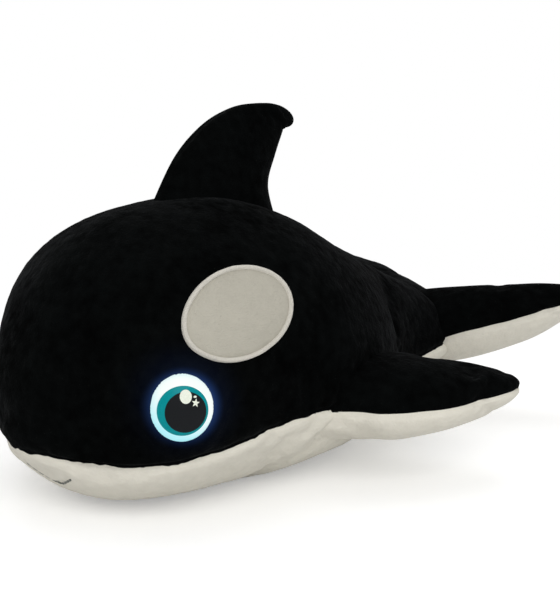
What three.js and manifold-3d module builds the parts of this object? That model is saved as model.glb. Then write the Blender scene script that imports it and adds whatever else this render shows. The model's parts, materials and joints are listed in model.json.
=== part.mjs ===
// Plush orca night light: a stuffed toy whose plastic eyes are lit by LEDs from a battery box in its belly.
// Millimetres, +Z up. The nose points to -Y, the animal's left is +X, and z = 0 is the surface it lies on.
import * as THREE from "three";
import { mergeVertices } from "three/addons/utils/BufferGeometryUtils.js";
import Module from "manifold-3d";

const wasm = await Module();
wasm.setup();

// Driving dimensions. Names that end in share or shares are parts of the sizes named beside them.
const gap = 0.3; // between pieces that touch
const overrun = 4; // how far a cut runs past what it cuts
const weld = 1e-4; // points closer than this are one point

// The stuffed body, and the depth by which its belly is pressed flat where it lies
const body = { nose: -178, length: 362, halfWidth: 97, height: 173, restCut: 0.5 };
const skin = { thickness: 3, inside: 3.4 }; // plush with its backing, and where the stuffing starts
const sectionPower = 2.13; // 2 is an ellipse, more is squarer
// place along the length, half width, top, bottom, height of the widest line, height of the colour seam
const bodyShares = [
  [0, 0, 0.33, 0.33, 0.33, 0.25],
  [0.0276, 0.315, 0.575, 0.19, 0.39, 0.236],
  [0.0994, 0.7, 0.805, 0.058, 0.41, 0.215],
  [0.1878, 0.928, 0.942, 0.018, 0.4, 0.247],
  [0.337, 0.99, 1, 0.006, 0.387, 0.31],
  [0.4724, 1, 0.964, 0, 0.364, 0.321],
  [0.6077, 0.845, 0.848, 0.006, 0.341, 0.303],
  [0.768, 0.53, 0.71, 0.078, 0.329, 0.305],
  [0.9061, 0.42, 0.593, 0.171, 0.329, 0.31],
  [1, 0.37, 0.53, 0.249, 0.332, 0.3],
];

// The flippers: the hinge line is where the stuffed limb bends, just outside the body
const flipper = { reach: 66, chord: 91, thickness: 48.5, lift: 5.5, yaw: 17, standOff: 10 };
flipper.lengthShare = 0.5525;
flipper.seat = { notch: 7, gap: 0.5, lip: 1.5, rootDepth: 46 };
// reach from the hinge, front edge, rear edge, thickness, rise
const flipperShares = [
  [0, -0.44, 0.56, 1, 0],
  [0.197, -0.385, 0.626, 0.98, 0.26],
  [0.606, -0.132, 0.703, 0.71, 0.45],
  [0.818, 0.165, 0.66, 0.5, 0.74],
  [1, 0.495, 0.495, 0, 1],
];
const flipperRootShares = { front: -0.648, rear: 0.363, thickness: 1.03 }; // of the chord and thickness

// The tail fin: one lobe each side, on the end of the tail stock
const fluke = { reach: 127, chord: 62, thickness: 58, rise: 35, sink: 3 };
fluke.hinge = { radius: 27, halfWidth: 29, notch: 10, gap: 0.5, lengthShare: 0.953, heightShare: 0.37 };
const flukeHubShare = 0.13; // how far forward of the middle of its chord the hinge line lies
// reach from the middle, front edge, rear edge, thickness, rise
const flukeShares = [
  [0, -0.387, 0.613, 1, 0],
  [0.291, -0.129, 0.871, 0.94, 0.208],
  [0.567, 0.097, 1.113, 0.732, 0.478],
  [0.803, 0.565, 1.177, 0.375, 0.785],
  [1, 1.032, 1.032, 0, 1],
];

// The back fin
const backFin = { height: 62.5, length: 120, thickness: 36, startShare: 0.278 };
// height in front, front edge, rear edge, height behind, thickness
const backFinShares = [
  [-0.1, 0.01, 0.85, -0.37, 1],
  [0.36, 0.165, 0.78, 0.02, 0.83],
  [0.65, 0.34, 0.83, 0.33, 0.68],
  [0.81, 0.53, 0.87, 0.5, 0.56],
  [0.86, 0.7, 0.89, 0.58, 0.46],
  [0.72, 0.975, 0.975, 0.72, 0],
];

// Sewn-on trim
const patch = { length: 74.5, height: 49.8, rise: 1.6, rim: 2.8, rimRise: 2.1 };
patch.place = { lengthShare: 0.2548, angle: 27.8, tilt: 16 };
const mouth = { halfWidth: 26.8, curve: 14.1, height: 13, thread: 1.8, rise: 1 };

// The eyes: a milky dome on a base whose stem goes through the plush
const eye = { radius: 18.6, ovalShare: 0.93, height: 7.4, wall: 1.6, skirt: 2.5, seat: 2.2 };
eye.place = { lengthShare: 0.1419, angle: 1 };
eye.base = { thickness: 1.5, stemRadius: 5, boreRadius: 3.3, stemLength: 16 };
eye.washer = { radius: 11, thickness: 2, depth: 6.8 };
eye.print = { thickness: 0.5, irisRadius: 14, pupilRadius: 11.4 };
eye.glint = { radius: 3.5, height: 3.9, dotRadius: 1.2 };
// directions on the dome in degrees: towards the tail, then up
eye.aim = { iris: [-1.4, -1.5], pupil: [1.6, -2.8], glint: [1.8, 14.6], dot: [13, 7] };
const led = { radius: 2.5, flangeRadius: 2.95, flange: 1, length: 8.6, sink: 4.4 };
const lead = { radius: 1.2, clearance: 0.4, drop: 12 }; // the drop is its straight run into the box

// The battery box in the belly, its cells along Y
const box = { front: 12, width: 38, length: 66, lift: 1.2, wall: 1.6, floor: 1.8, bay: 11, height: 18.4 };
const cell = { radius: 5.25, length: 44.5, count: 3, nubRadius: 1.9, nub: 0.8, pitch: 11 };
const contact = { plate: 0.5, spring: 3, springRadius: 3.6, tipRadius: 1.6 };
const web = { thickness: 1.4 };
const board = { thickness: 1.2, margin: 1 };
const lid = { thickness: 1.6, inset: 4 };
lid.screw = { radius: 1.2, headRadius: 2.2, headHeight: 0.9, length: 4 };
const boss = { radius: 3.6, offset: 4, height: 13 };
const screw = { radius: 1.3, headRadius: 2.6, headHeight: 1.6, length: 10 };
const button = { radius: 4.5, collarRadius: 5.6, collar: 1, stemRadius: 2, proud: 2, travel: 1.2 };
button.place = -8;
const tact = { width: 6, height: 3.5, plungerRadius: 1.7, plunger: 1 };
const slider = { width: 3, depth: 2, proud: 1.4, plate: 1.4, plateWidth: 4.4, travel: 4, place: 6 };
const housing = { width: 13, depth: 6.6, height: 4.2, wall: 1 };
const pouch = { wall: 1.2 };
const flap = { width: 48, inset: 1, swing: 1.2 }; // behind the box's front, and its gap as it swings out
const tape = { length: 9, width: 40, thickness: 1, underlap: 6, inset: 0.5, standOff: 1.4 };
const feed = { side: 7, radius: 2.2, place: 34 }; // where the leads go into the box

// Colours and finishes
const finish = {
  blackPlush: [0x101112, 0.95, 0],
  whitePlush: [0xd2cfc6, 0.95, 0],
  greyPlush: [0xb2aea8, 0.95, 0],
  thread: [0xc9c6be, 0.7, 0],
  darkThread: [0x4a4b4c, 0.7, 0],
  stuffing: [0xf2f0ea, 1, 0],
  milky: [0xf4fbf8, 0.25, 0],
  teal: [0x178c98, 0.3, 0],
  pupil: [0x1b1d1f, 0.25, 0],
  glint: [0xe4ebe0, 0.3, 0],
  whitePlastic: [0xe9e9e6, 0.45, 0],
  blackPlastic: [0x222326, 0.5, 0],
  greyPlastic: [0x8d9093, 0.5, 0],
  lamp: [0xe8f1f5, 0.15, 0],
  cable: [0x2a2a2c, 0.5, 0],
  metal: [0xb9bcc0, 0.35, 0.9],
  circuit: [0x2c6a45, 0.5, 0],
  jacket: [0x3c6fa8, 0.4, 0.2],
  tape: [0xdfddd6, 0.9, 0],
};

const group = new THREE.Group();
group.name = "plush_night_light";

// A closed geometry as a solid
function solid(geometry, matrix) {
  const loose = geometry.index ? geometry.toNonIndexed() : geometry.clone();
  if (matrix) loose.applyMatrix4(matrix);
  const bare = new THREE.BufferGeometry().setAttribute("position", loose.getAttribute("position"));
  const merged = mergeVertices(bare, weld);
  const vertProperties = merged.attributes.position.array;
  const triVerts = new Uint32Array(merged.index.array);
  return new wasm.Manifold(new wasm.Mesh({ numProp: 3, vertProperties, triVerts }));
}

// A solid as a geometry
function geometryOf(manifold) {
  const mesh = manifold.getMesh();
  const points = new Float32Array(mesh.numVert * 3);
  for (let i = 0; i < mesh.numVert; i++) {
    for (let k = 0; k < 3; k++) points[i * 3 + k] = mesh.vertProperties[i * mesh.numProp + k];
  }
  const geometry = new THREE.BufferGeometry();
  geometry.setAttribute("position", new THREE.BufferAttribute(points, 3));
  geometry.setIndex(new THREE.BufferAttribute(mesh.triVerts, 1));
  geometry.computeVertexNormals();
  return geometry;
}

function piece(name, shape, look, parent = group) {
  const [color, roughness, metalness] = finish[look];
  const material = new THREE.MeshStandardMaterial({ color, roughness, metalness });
  const geometry = shape.isBufferGeometry ? shape : geometryOf(shape);
  const mesh = new THREE.Mesh(geometry, material);
  mesh.name = name;
  parent.add(mesh);
  return mesh;
}

// A box between two corners, as a solid
function block(x, y, z) {
  const geometry = new THREE.BoxGeometry(x[1] - x[0], y[1] - y[0], z[1] - z[0]);
  geometry.translate((x[0] + x[1]) / 2, (y[0] + y[1]) / 2, (z[0] + z[1]) / 2);
  return solid(geometry);
}

// A turned shape about +Z from a profile of [radius, height], given either way round
function turned(profile, sides = 20) {
  const points = profile.map(([r, h]) => new THREE.Vector2(r, h));
  if (THREE.ShapeUtils.area(points) < 0) points.reverse();
  const geometry = new THREE.LatheGeometry(points, sides);
  geometry.rotateX(Math.PI / 2);
  return geometry;
}

const rod = (radius, from, to, sides = 20) =>
  solid(turned([[0, from], [radius, from], [radius, to], [0, to]], sides));
const moved = (manifold, x, y, z = 0) => solid(geometryOf(manifold).translate(x, y, z));
const mirrored = (manifold) => {
  const geometry = geometryOf(manifold);
  geometry.scale(-1, 1, 1);
  const index = geometry.index.array;
  for (let i = 0; i < index.length; i += 3) [index[i + 1], index[i + 2]] = [index[i + 2], index[i + 1]];
  return solid(geometry);
};

// Rows of numbers joined by a smooth curve, each span in as many steps
function smooth(rows, steps, before, after) {
  const last = rows.length - 1;
  const ends = [
    before || rows[0].map((v, k) => 2 * v - rows[1][k]),
    ...rows,
    after || rows[last].map((v, k) => 2 * v - rows[last - 1][k]),
  ];
  const out = [];
  for (let i = 0; i < last; i++) {
    for (let s = 0; s < steps; s++) {
      const t = s / steps;
      const [a, b, c, d] = ends.slice(i, i + 4);
      out.push(b.map((_, k) => (2 * b[k] + (c[k] - a[k]) * t
        + (2 * a[k] - 5 * b[k] + 4 * c[k] - d[k]) * t * t
        + (3 * b[k] - a[k] - 3 * c[k] + d[k]) * t ** 3) / 2));
    }
  }
  out.push(rows[last]);
  return out;
}

// A closed skin over rings of points; a ring may shrink to one point
function loft(rings) {
  const triangles = [];
  const tri = (a, b, c) => {
    if (a.distanceTo(b) > weld && b.distanceTo(c) > weld && c.distanceTo(a) > weld) triangles.push(a, b, c);
  };
  const n = rings[0].length;
  for (let i = 0; i + 1 < rings.length; i++) {
    for (let j = 0; j < n; j++) {
      const k = (j + 1) % n;
      tri(rings[i][j], rings[i][k], rings[i + 1][k]);
      tri(rings[i][j], rings[i + 1][k], rings[i + 1][j]);
    }
  }
  const centre = (ring) => ring.reduce((sum, p) => sum.add(p), new THREE.Vector3()).divideScalar(n);
  const [first, last] = [rings[0], rings[rings.length - 1]];
  for (let j = 0; j < n; j++) {
    const k = (j + 1) % n;
    tri(centre(first), first[k], first[j]);
    tri(centre(last), last[j], last[k]);
  }
  let volume = 0;
  for (let i = 0; i < triangles.length; i += 3) {
    volume += triangles[i].dot(new THREE.Vector3().crossVectors(triangles[i + 1], triangles[i + 2]));
  }
  if (volume < 0) triangles.reverse();
  return new THREE.BufferGeometry().setFromPoints(triangles);
}

// The body
const powered = (v) => Math.sign(v) * Math.abs(v) ** (2 / sectionPower);
const bodyRows = bodyShares.map(([along, w, top, bottom, wide, seam]) => [
  body.nose + along * body.length,
  w * body.halfWidth,
  top * body.height - body.restCut,
  bottom * body.height - body.restCut,
  wide * body.height - body.restCut,
  seam * body.height - body.restCut,
]);
const outerSteps = 2;
const innerSteps = 1;
const bodySides = 20;

function bodyStations(inset, steps = outerSteps) {
  const last = bodyRows.length - 1;
  const rows = bodyRows.map(([y, w, top, bottom, wide, seam], i) => [
    y + (i === 0 ? inset : 0) - (i === last ? inset : 0),
    i === 0 ? 0 : w - inset,
    i === 0 ? top : top - inset,
    i === 0 ? bottom : bottom + inset,
    wide,
    seam,
  ]);
  const [y, w, top, bottom, wide, seam] = rows[1];
  return smooth(rows, steps, [y, -w, bottom, top, wide, seam]);
}

function bodyPoint([y, w, top, bottom, wide], angle) {
  const up = powered(Math.sin(angle));
  const z = wide + (up > 0 ? top - wide : wide - bottom) * up;
  return new THREE.Vector3(w * powered(Math.cos(angle)), y, z);
}

function bodySolid(inset, steps = outerSteps) {
  const rings = bodyStations(inset, steps).map((row) =>
    Array.from({ length: bodySides }, (_, j) => bodyPoint(row, ((j / bodySides) * 2 - 0.5) * Math.PI)));
  return solid(loft(rings));
}

// The station at a share of the body's length
function stationAt(share) {
  const y = body.nose + share * body.length;
  const rows = bodyStations(0, 16);
  const i = Math.max(1, rows.findIndex((row) => row[0] >= y));
  const t = (y - rows[i - 1][0]) / (rows[i][0] - rows[i - 1][0]);
  return rows[i].map((v, k) => rows[i - 1][k] * (1 - t) + v * t);
}

// The height of the belly skin's inside at a place
function bellyInside(x, y) {
  const [, w, , bottom, wide] = stationAt((y - body.nose) / body.length);
  const across = (x / (w - skin.thickness)) ** sectionPower;
  return wide - (wide - bottom - skin.thickness) * (1 - across) ** (1 / sectionPower);
}

// A frame on the body's left side: +Z out of the surface, +X towards the tail, +Y up
function surfaceFrame(share, degrees) {
  const angle = THREE.MathUtils.degToRad(degrees);
  const step = 0.01;
  const at = bodyPoint(stationAt(share), angle);
  const along = bodyPoint(stationAt(share + step), angle).sub(bodyPoint(stationAt(share - step), angle));
  const round = bodyPoint(stationAt(share), angle + step).sub(bodyPoint(stationAt(share), angle - step));
  const out = new THREE.Vector3().crossVectors(along, round).normalize();
  const back = new THREE.Vector3(0, 0, 1).cross(out).normalize();
  const up = new THREE.Vector3().crossVectors(out, back);
  return new THREE.Matrix4().makeBasis(back, up, out).setPosition(at);
}

// A prism whose outline is given in two world axes, between two places on the third
function prism(points, from, to, plane) {
  const shape = new THREE.Shape(points.map(([a, b]) => new THREE.Vector2(a, b)));
  const geometry = new THREE.ExtrudeGeometry(shape, { depth: to - from, bevelEnabled: false });
  geometry.translate(0, 0, from);
  if (plane === "yz") geometry.rotateX(Math.PI / 2).rotateZ(Math.PI / 2);
  if (plane === "xz") geometry.rotateX(Math.PI / 2);
  return geometry;
}

// The colour seam as two prisms: all that lies above it, and all that lies below
const reachAll = body.length; // further than any piece reaches from the middle
const seamLine = bodyStations(0).map((row) => [row[0], row[5]]);
const seamEnds = [[-reachAll, seamLine[0][1]], ...seamLine, [reachAll, seamLine[seamLine.length - 1][1]]];
const lifted = (by) => seamEnds.map(([y, z]) => [y, z + by]);
const aboveSeam = solid(prism([...lifted(gap / 2), [reachAll, reachAll], [-reachAll, reachAll]],
  -reachAll, reachAll, "yz"));
const belowSeam = solid(prism([[-reachAll, -reachAll], [reachAll, -reachAll], ...lifted(-gap / 2).reverse()],
  -reachAll, reachAll, "yz"));

// A limb that swells and tapers: rows of [out, front edge, rear edge, thickness, rise], out along +X
const limbSides = 14;
function limb(rows, steps, tip = true) {
  const last = rows.length - 1;
  const [out, front, rear, thick, rise] = rows[last - 1];
  const beyond = tip ? [out, rear, front, -thick, rise] : undefined;
  return loft(smooth(rows, steps, undefined, beyond).map(([x, f, r, t, up]) =>
    Array.from({ length: limbSides }, (_, j) => {
      const angle = (j / limbSides) * 2 * Math.PI;
      const y = (f + r) / 2 + ((r - f) / 2) * Math.cos(angle);
      return new THREE.Vector3(x, y, up + (t / 2) * Math.sin(angle));
    })));
}

// What lies above or below a limb's own seam, which rises with it
function limbHalf(rows, way) {
  const line = smooth(rows, 2).map((row) => [row[0], row[4] + (way * gap) / 2]);
  const outline = [
    [-reachAll, line[0][1]],
    ...line,
    [reachAll, line[line.length - 1][1]],
    [reachAll, way * reachAll],
    [-reachAll, way * reachAll],
  ];
  return solid(prism(way > 0 ? outline : outline.reverse(), -reachAll, reachAll, "xz"));
}

// A body of revolution about Y, for the bend of a limb, and how much larger a faceted one has to be
// for another of as many sides to turn in it
const hubSides = 14;
const turningShare = 1 / Math.cos(Math.PI / hubSides);
function hub(halfLength, radius, y) {
  const geometry = new THREE.SphereGeometry(1, hubSides, hubSides / 2);
  geometry.scale(radius, halfLength, radius);
  geometry.translate(0, y, 0);
  return geometry;
}

// The left flipper, its hinge line and its seat
const flipperRows = flipperShares.map(([out, front, rear, thick, rise]) => [
  out * flipper.reach,
  front * flipper.chord,
  rear * flipper.chord,
  thick * flipper.thickness,
  rise * flipper.lift,
]);
const flipperStation = stationAt(flipper.lengthShare);
const flipperFrame = new THREE.Matrix4()
  .makeRotationZ(THREE.MathUtils.degToRad(flipper.yaw))
  .setPosition(flipperStation[1] + flipper.standOff, flipperStation[0], flipperStation[5]);
const flipperMiddle = (flipperRows[0][1] + flipperRows[0][2]) / 2;
const flipperHub = (grow = 0, share = 1) => {
  const radius = (flipper.thickness / 2) * share + grow;
  return solid(hub(flipper.chord / 2 + grow, radius, flipperMiddle), flipperFrame);
};
const flipperSleeve = (() => {
  const { lip, notch, rootDepth } = flipper.seat;
  const [, front, rear, thick] = flipperRows[0];
  const mouthRow = [-notch, front - lip, rear + lip, thick + 2 * lip, 0];
  const rootRow = [
    -rootDepth,
    flipperRootShares.front * flipper.chord,
    flipperRootShares.rear * flipper.chord,
    flipperRootShares.thickness * flipper.thickness,
    0,
  ];
  return solid(limb([rootRow, mouthRow], 2, false), flipperFrame);
})();
const flipperMoving = solid(limb(flipperRows, 2), flipperFrame).add(flipperHub());

// The tail fin, its hinge line and its seat
const tailStation = stationAt(fluke.hinge.lengthShare);
const tailHinge = { y: tailStation[0], z: fluke.hinge.heightShare * body.height };
const flukeRows = flukeShares.map(([out, front, rear, thick, rise]) => [
  out * fluke.reach,
  tailHinge.y + (front + flukeHubShare) * fluke.chord,
  tailHinge.y + (rear + flukeHubShare) * fluke.chord,
  thick * fluke.thickness,
  tailHinge.z - fluke.sink + rise * fluke.rise,
]);
const tailHub = (grow = 0, share = 1) => {
  const geometry = hub(fluke.hinge.halfWidth + grow, fluke.hinge.radius * share + grow, 0);
  geometry.rotateZ(Math.PI / 2);
  geometry.translate(0, tailHinge.y, tailHinge.z);
  return solid(geometry);
};
const stockEnd = tailHinge.y - fluke.hinge.notch;
const stockHalf = stationAt((stockEnd - body.nose) / body.length)[1] + gap;
const wide = [-reachAll, reachAll];
const lobe = solid(limb(flukeRows, 2))
  .subtract(block([-reachAll, stockHalf + overrun], [-reachAll, tailHinge.y], wide))
  .subtract(block(wide, [-reachAll, stockEnd + gap], wide))
  .add(tailHub())
  .subtract(block([-reachAll, gap / 2], wide, wide));

// Cuts that both skins and the stuffing share
const flipperPockets = (grow) => {
  const pocket = flipperHub(flipper.seat.gap + grow, turningShare);
  return pocket.add(mirrored(pocket));
};
const tailPocket = (grow) => tailHub(fluke.hinge.gap + grow, turningShare);
const beforeStockEnd = (inset) => block(wide, [-reachAll, stockEnd - inset], wide);
const underFloor = block(wide, wide, [-reachAll, 0]);

const sleeves = flipperSleeve.add(mirrored(flipperSleeve));
const lining = bodySolid(skin.thickness, innerSteps)
  .intersect(beforeStockEnd(skin.thickness))
  .subtract(flipperPockets(skin.thickness))
  .subtract(tailPocket(skin.thickness));
const outerForm = bodySolid(0).intersect(beforeStockEnd(0));

// Eye frames, left, and right by mirroring
const eyeFrame = surfaceFrame(eye.place.lengthShare, eye.place.angle);
const eyeOval = new THREE.Matrix4().makeScale(eye.ovalShare, 1, 1);
const atEyes = (manifold) => {
  const left = solid(geometryOf(manifold), eyeFrame);
  return left.add(mirrored(left));
};
const seatCut = solid(turned([[0, -eye.seat], [eye.radius + gap, -eye.seat], [eye.radius + gap, eye.height],
  [0, eye.height]], 20), eyeOval);
const stemDepth = eye.seat + gap + eye.base.stemLength;
const stemCut = rod(eye.base.stemRadius + gap, -stemDepth - gap, eye.height);
const washerTop = -eye.washer.depth;
const washerCut = rod(eye.washer.radius + gap, washerTop - eye.washer.thickness - gap, eye.height);

// Heights and places in the battery box
const half = box.width / 2;
const rear = box.front + box.length;
const bossY = rear + boss.offset;
const bossRear = bossY + boss.radius;
const boxBottom = bellyInside(half, bossRear) + box.lift;
const floorTop = boxBottom + box.floor;
const cellZ = floorTop + gap + cell.radius;
const webBottom = cellZ + cell.radius + gap;
const webTop = webBottom + web.thickness;
const boardBottom = webTop + gap;
const boardTop = boardBottom + board.thickness;
const boxTop = boxBottom + box.height;
const lidBottom = boxTop + gap;
const lidTop = lidBottom + lid.thickness;
const divider = box.front + box.wall + box.bay;
const bayFront = divider + box.wall;
const pouchIn = gap;
const pouchOut = gap + pouch.wall;

// The flap in the belly skin, and what lies behind it
const flapFront = box.front + flap.inset;
const tapeFront = bossRear + tape.standOff;
const flapBack = tapeFront + tape.length;
const footprint = (grow, z = wide) =>
  block([-flap.width / 2 - grow, flap.width / 2 + grow], [flapFront - grow, flapBack + grow], z);

const shell = outerForm
  .add(sleeves)
  .subtract(lining)
  .subtract(flipperPockets(0))
  .subtract(tailPocket(0))
  .subtract(underFloor)
  .subtract(atEyes(seatCut))
  .subtract(atEyes(stemCut));
piece("back_skin", shell.intersect(aboveSeam), "blackPlush");
const bellyHalf = shell.intersect(belowSeam);
const middleOfSeam = Math.min(...seamLine.map(([, z]) => z)) - overrun;
piece("belly_skin", bellyHalf.subtract(footprint(0, [-reachAll, middleOfSeam])), "whitePlush");
const flapRear = flapBack - flap.swing; // clear of the opening's edge as the flap swings down
const flapPanel = bellyHalf.intersect(block([-flap.width / 2 + gap, flap.width / 2 - gap],
  [flapFront + gap, flapRear], [-reachAll, middleOfSeam]));
piece("belly_flap", flapPanel, "whitePlush");

// Layers that follow the belly inside the skin: the two halves of the closing tape
const layer = (from, to, steps = outerSteps) => bodySolid(from, steps).subtract(bodySolid(to, steps));
const tapeX = [-tape.width / 2, tape.width / 2];
const lowOnly = [-reachAll, middleOfSeam];
const hookFrom = skin.thickness + gap;
const hookTo = hookFrom + tape.thickness;
const hookStrip = block(tapeX, [tapeFront, flapRear - tape.inset], lowOnly);
piece("hook_tape", layer(hookFrom, hookTo, innerSteps).intersect(hookStrip), "tape");
const loopFrom = hookTo + gap;
const loopTo = loopFrom + tape.thickness;
const loopOver = layer(loopFrom, loopTo, innerSteps)
  .intersect(block(tapeX, [tapeFront, flapBack + gap], lowOnly));
const loopSewn = layer(hookFrom, loopTo, innerSteps)
  .intersect(block(tapeX, [flapBack + gap, flapBack + tape.underlap], lowOnly));
piece("loop_tape", loopOver.add(loopSewn), "tape");

// The fabric pouch round the box, open below
const pouchRoom = (grow, z) =>
  block([-half - grow, half + grow], [box.front - grow, bossRear + grow], z);
const feeds = (radius, z) => {
  const hole = moved(rod(radius, z[0], z[1], 12), feed.side, feed.place);
  return hole.add(mirrored(hole));
};
const pouchTop = lidTop + lid.screw.headHeight + gap;
const pouchSolid = pouchRoom(pouchOut, [0, pouchTop + pouch.wall])
  .subtract(pouchRoom(pouchIn, [-reachAll, pouchTop]))
  .intersect(bodySolid(loopTo + gap, innerSteps))
  .subtract(feeds(feed.radius, [pouchTop - overrun, pouchTop + overrun]));
piece("battery_pouch", pouchSolid, "tape");

// The leads from each eye to the box, along the inside of the body
const leadStart = new THREE.Vector3(0, 0, -led.sink - led.flange - gap).applyMatrix4(eyeFrame);
const stemEnd = new THREE.Vector3(0, 0, -stemDepth).applyMatrix4(eyeFrame);
const inward = new THREE.Vector3().subVectors(stemEnd, leadStart).normalize();
const leadPoints = [
  leadStart,
  stemEnd,
  stemEnd.clone().addScaledVector(inward, eye.base.stemLength / 2),
  new THREE.Vector3(34, -78, 64),
  new THREE.Vector3(16, -30, 68),
  new THREE.Vector3(feed.side, 20, 62),
  new THREE.Vector3(feed.side, feed.place, pouchTop + lead.drop),
  new THREE.Vector3(feed.side, feed.place, boardTop + gap),
];
const leadPath = new THREE.CatmullRomCurve3(leadPoints, false, "centripetal");
function tube(radius, sides, steps) {
  const shape = new THREE.Shape(Array.from({ length: sides }, (_, j) => {
    const angle = (j / sides) * 2 * Math.PI;
    return new THREE.Vector2(radius * Math.cos(angle), radius * Math.sin(angle));
  }));
  return solid(new THREE.ExtrudeGeometry(shape, { extrudePath: leadPath, steps, bevelEnabled: false }));
}
const leadSteps = 20;
const leadSides = 6;
const leadTube = tube(lead.radius, leadSides, leadSteps);
const leadChannel = tube(lead.radius + lead.clearance, leadSides, leadSteps);

// The stuffing, with room for the eyes' stems, the leads and the pouch
const stuffing = bodySolid(skin.inside, innerSteps)
  .intersect(beforeStockEnd(skin.inside))
  .subtract(flipperPockets(skin.inside))
  .subtract(tailPocket(skin.inside))
  .subtract(atEyes(stemCut))
  .subtract(atEyes(washerCut))
  .subtract(leadChannel)
  .subtract(mirrored(leadChannel))
  .subtract(pouchRoom(pouchOut + gap, [-reachAll, pouchTop + pouch.wall + gap]))
  .subtract(footprint(tape.underlap + gap, lowOnly).subtract(bodySolid(loopTo + gap, innerSteps)));
piece("body_stuffing", stuffing, "stuffing");

// The flippers and the tail fin, black above and white below
const placedHalf = (rows, way, frame) => solid(geometryOf(limbHalf(rows, way)), frame);
const flipperTop = flipperMoving.intersect(placedHalf(flipperRows, 1, flipperFrame));
const flipperUnder = flipperMoving.intersect(placedHalf(flipperRows, -1, flipperFrame));
piece("left_flipper_top", flipperTop, "blackPlush");
piece("left_flipper_underside", flipperUnder, "whitePlush");
piece("right_flipper_top", mirrored(flipperTop), "blackPlush");
piece("right_flipper_underside", mirrored(flipperUnder), "whitePlush");
const flukeTop = lobe.intersect(limbHalf(flukeRows, 1));
const flukeUnder = lobe.intersect(limbHalf(flukeRows, -1));
piece("left_fluke_top", flukeTop, "blackPlush");
piece("left_fluke_underside", flukeUnder, "whitePlush");
piece("right_fluke_top", mirrored(flukeTop), "blackPlush");
piece("right_fluke_underside", mirrored(flukeUnder), "whitePlush");

// The back fin, seated on the back
const finBase = backFin.startShare * body.length + body.nose;
const finRows = backFinShares.map(([high, front, back, low, thick]) => [
  body.height + high * backFin.height,
  finBase + front * backFin.length,
  finBase + back * backFin.length,
  body.height + low * backFin.height,
  thick * backFin.thickness,
]);
const finLoft = (() => {
  const [high, front, back, low, thick] = finRows[finRows.length - 2];
  return loft(smooth(finRows, 2, undefined, [low, back, front, high, -thick]).map(([zf, yf, yb, zb, t]) =>
    Array.from({ length: limbSides }, (_, j) => {
      const angle = (j / limbSides) * 2 * Math.PI;
      const y = (yf + yb) / 2 + ((yb - yf) / 2) * Math.cos(angle);
      const z = (zf + zb) / 2 + ((zb - zf) / 2) * Math.cos(angle);
      return new THREE.Vector3((t / 2) * Math.sin(angle), y, z);
    })));
})();
piece("back_fin", solid(finLoft).subtract(bodySolid(-gap)), "blackPlush");

// The pale patch behind each eye, with its satin-stitched rim
const patchFrame = surfaceFrame(patch.place.lengthShare, patch.place.angle)
  .multiply(new THREE.Matrix4().makeRotationZ(THREE.MathUtils.degToRad(patch.place.tilt)));
function ovalPrism(halfLength, halfHeight, sides) {
  const points = Array.from({ length: sides }, (_, j) => {
    const angle = (j / sides) * 2 * Math.PI;
    return new THREE.Vector2(halfLength * Math.cos(angle), halfHeight * Math.sin(angle));
  });
  const depth = patch.height / 2;
  return solid(prism(points.map((p) => p.toArray()), -depth, depth), patchFrame);
}
const ovalSides = 20;
const patchOuter = ovalPrism(patch.length / 2, patch.height / 2, ovalSides);
const patchInner = (grow) =>
  ovalPrism(patch.length / 2 - patch.rim + grow, patch.height / 2 - patch.rim + grow, ovalSides);
const patchField = layer(-patch.rise, -gap).intersect(patchInner(-gap));
const patchRim = layer(-patch.rimRise, -gap).intersect(patchOuter).subtract(patchInner(0));
piece("left_eye_patch", patchField, "greyPlush");
piece("left_patch_rim", patchRim, "thread");
piece("right_eye_patch", mirrored(patchField), "greyPlush");
piece("right_patch_rim", mirrored(patchRim), "thread");

// The stitched mouth, a smile across the front of the chin
const smileSteps = 12;
const chinRear = -body.nose / 2; // forward of the middle by half of what lies in front of it
const smile = (by) => Array.from({ length: smileSteps + 1 }, (_, i) => {
  const across = (i / smileSteps) * 2 - 1;
  return [across * mouth.halfWidth, mouth.height + mouth.curve * across ** 2 + by];
});
const smilePrism = solid(prism([...smile(-mouth.thread / 2), ...smile(mouth.thread / 2).reverse()],
  chinRear, reachAll, "xz"));
piece("mouth_stitching", layer(-mouth.rise, -gap).intersect(smilePrism), "darkThread");

// One eye: dome, printed rings, base, washer, lamp and lead
const domeSphere = ((eye.radius ** 2 + (eye.height - eye.skirt + eye.seat) ** 2) / 2)
  / (eye.height - eye.skirt + eye.seat);
const domeCentre = eye.height - domeSphere;
const capArc = (radius, angle, steps) => Array.from({ length: steps + 1 }, (_, i) => {
  const a = angle * (1 - i / steps);
  return [radius * Math.sin(a), domeCentre + radius * Math.cos(a)];
});
function cap(inner, outer, rimRadius, sides = 20) {
  const angle = Math.asin(rimRadius / domeSphere);
  const profile = [...capArc(outer, angle, 2), ...capArc(inner, angle, 2).reverse()];
  return turned([...profile, profile[0]], sides);
}
function aimed(geometry, [back, up]) {
  const turn = new THREE.Matrix4().makeRotationY(THREE.MathUtils.degToRad(back))
    .multiply(new THREE.Matrix4().makeRotationX(THREE.MathUtils.degToRad(-up)));
  const about = new THREE.Matrix4().makeTranslation(0, 0, domeCentre);
  return solid(geometry, about.clone().multiply(turn).multiply(about.invert()));
}
const domeFoot = -eye.seat + gap;
const skirtTop = domeFoot + eye.skirt - gap;
const innerRadius = domeSphere - eye.wall;
const innerRim = eye.radius - eye.wall;
const rimAngle = Math.asin(eye.radius / domeSphere);
const innerAngle = Math.asin(innerRim / innerRadius);
const dome = turned([
  [0, domeCentre + innerRadius],
  ...capArc(innerRadius, innerAngle, 4).reverse().slice(1),
  [innerRim, domeFoot],
  [eye.radius, domeFoot],
  ...capArc(domeSphere, rimAngle, 5),
], 20);
const printInner = domeSphere + gap;
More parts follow.
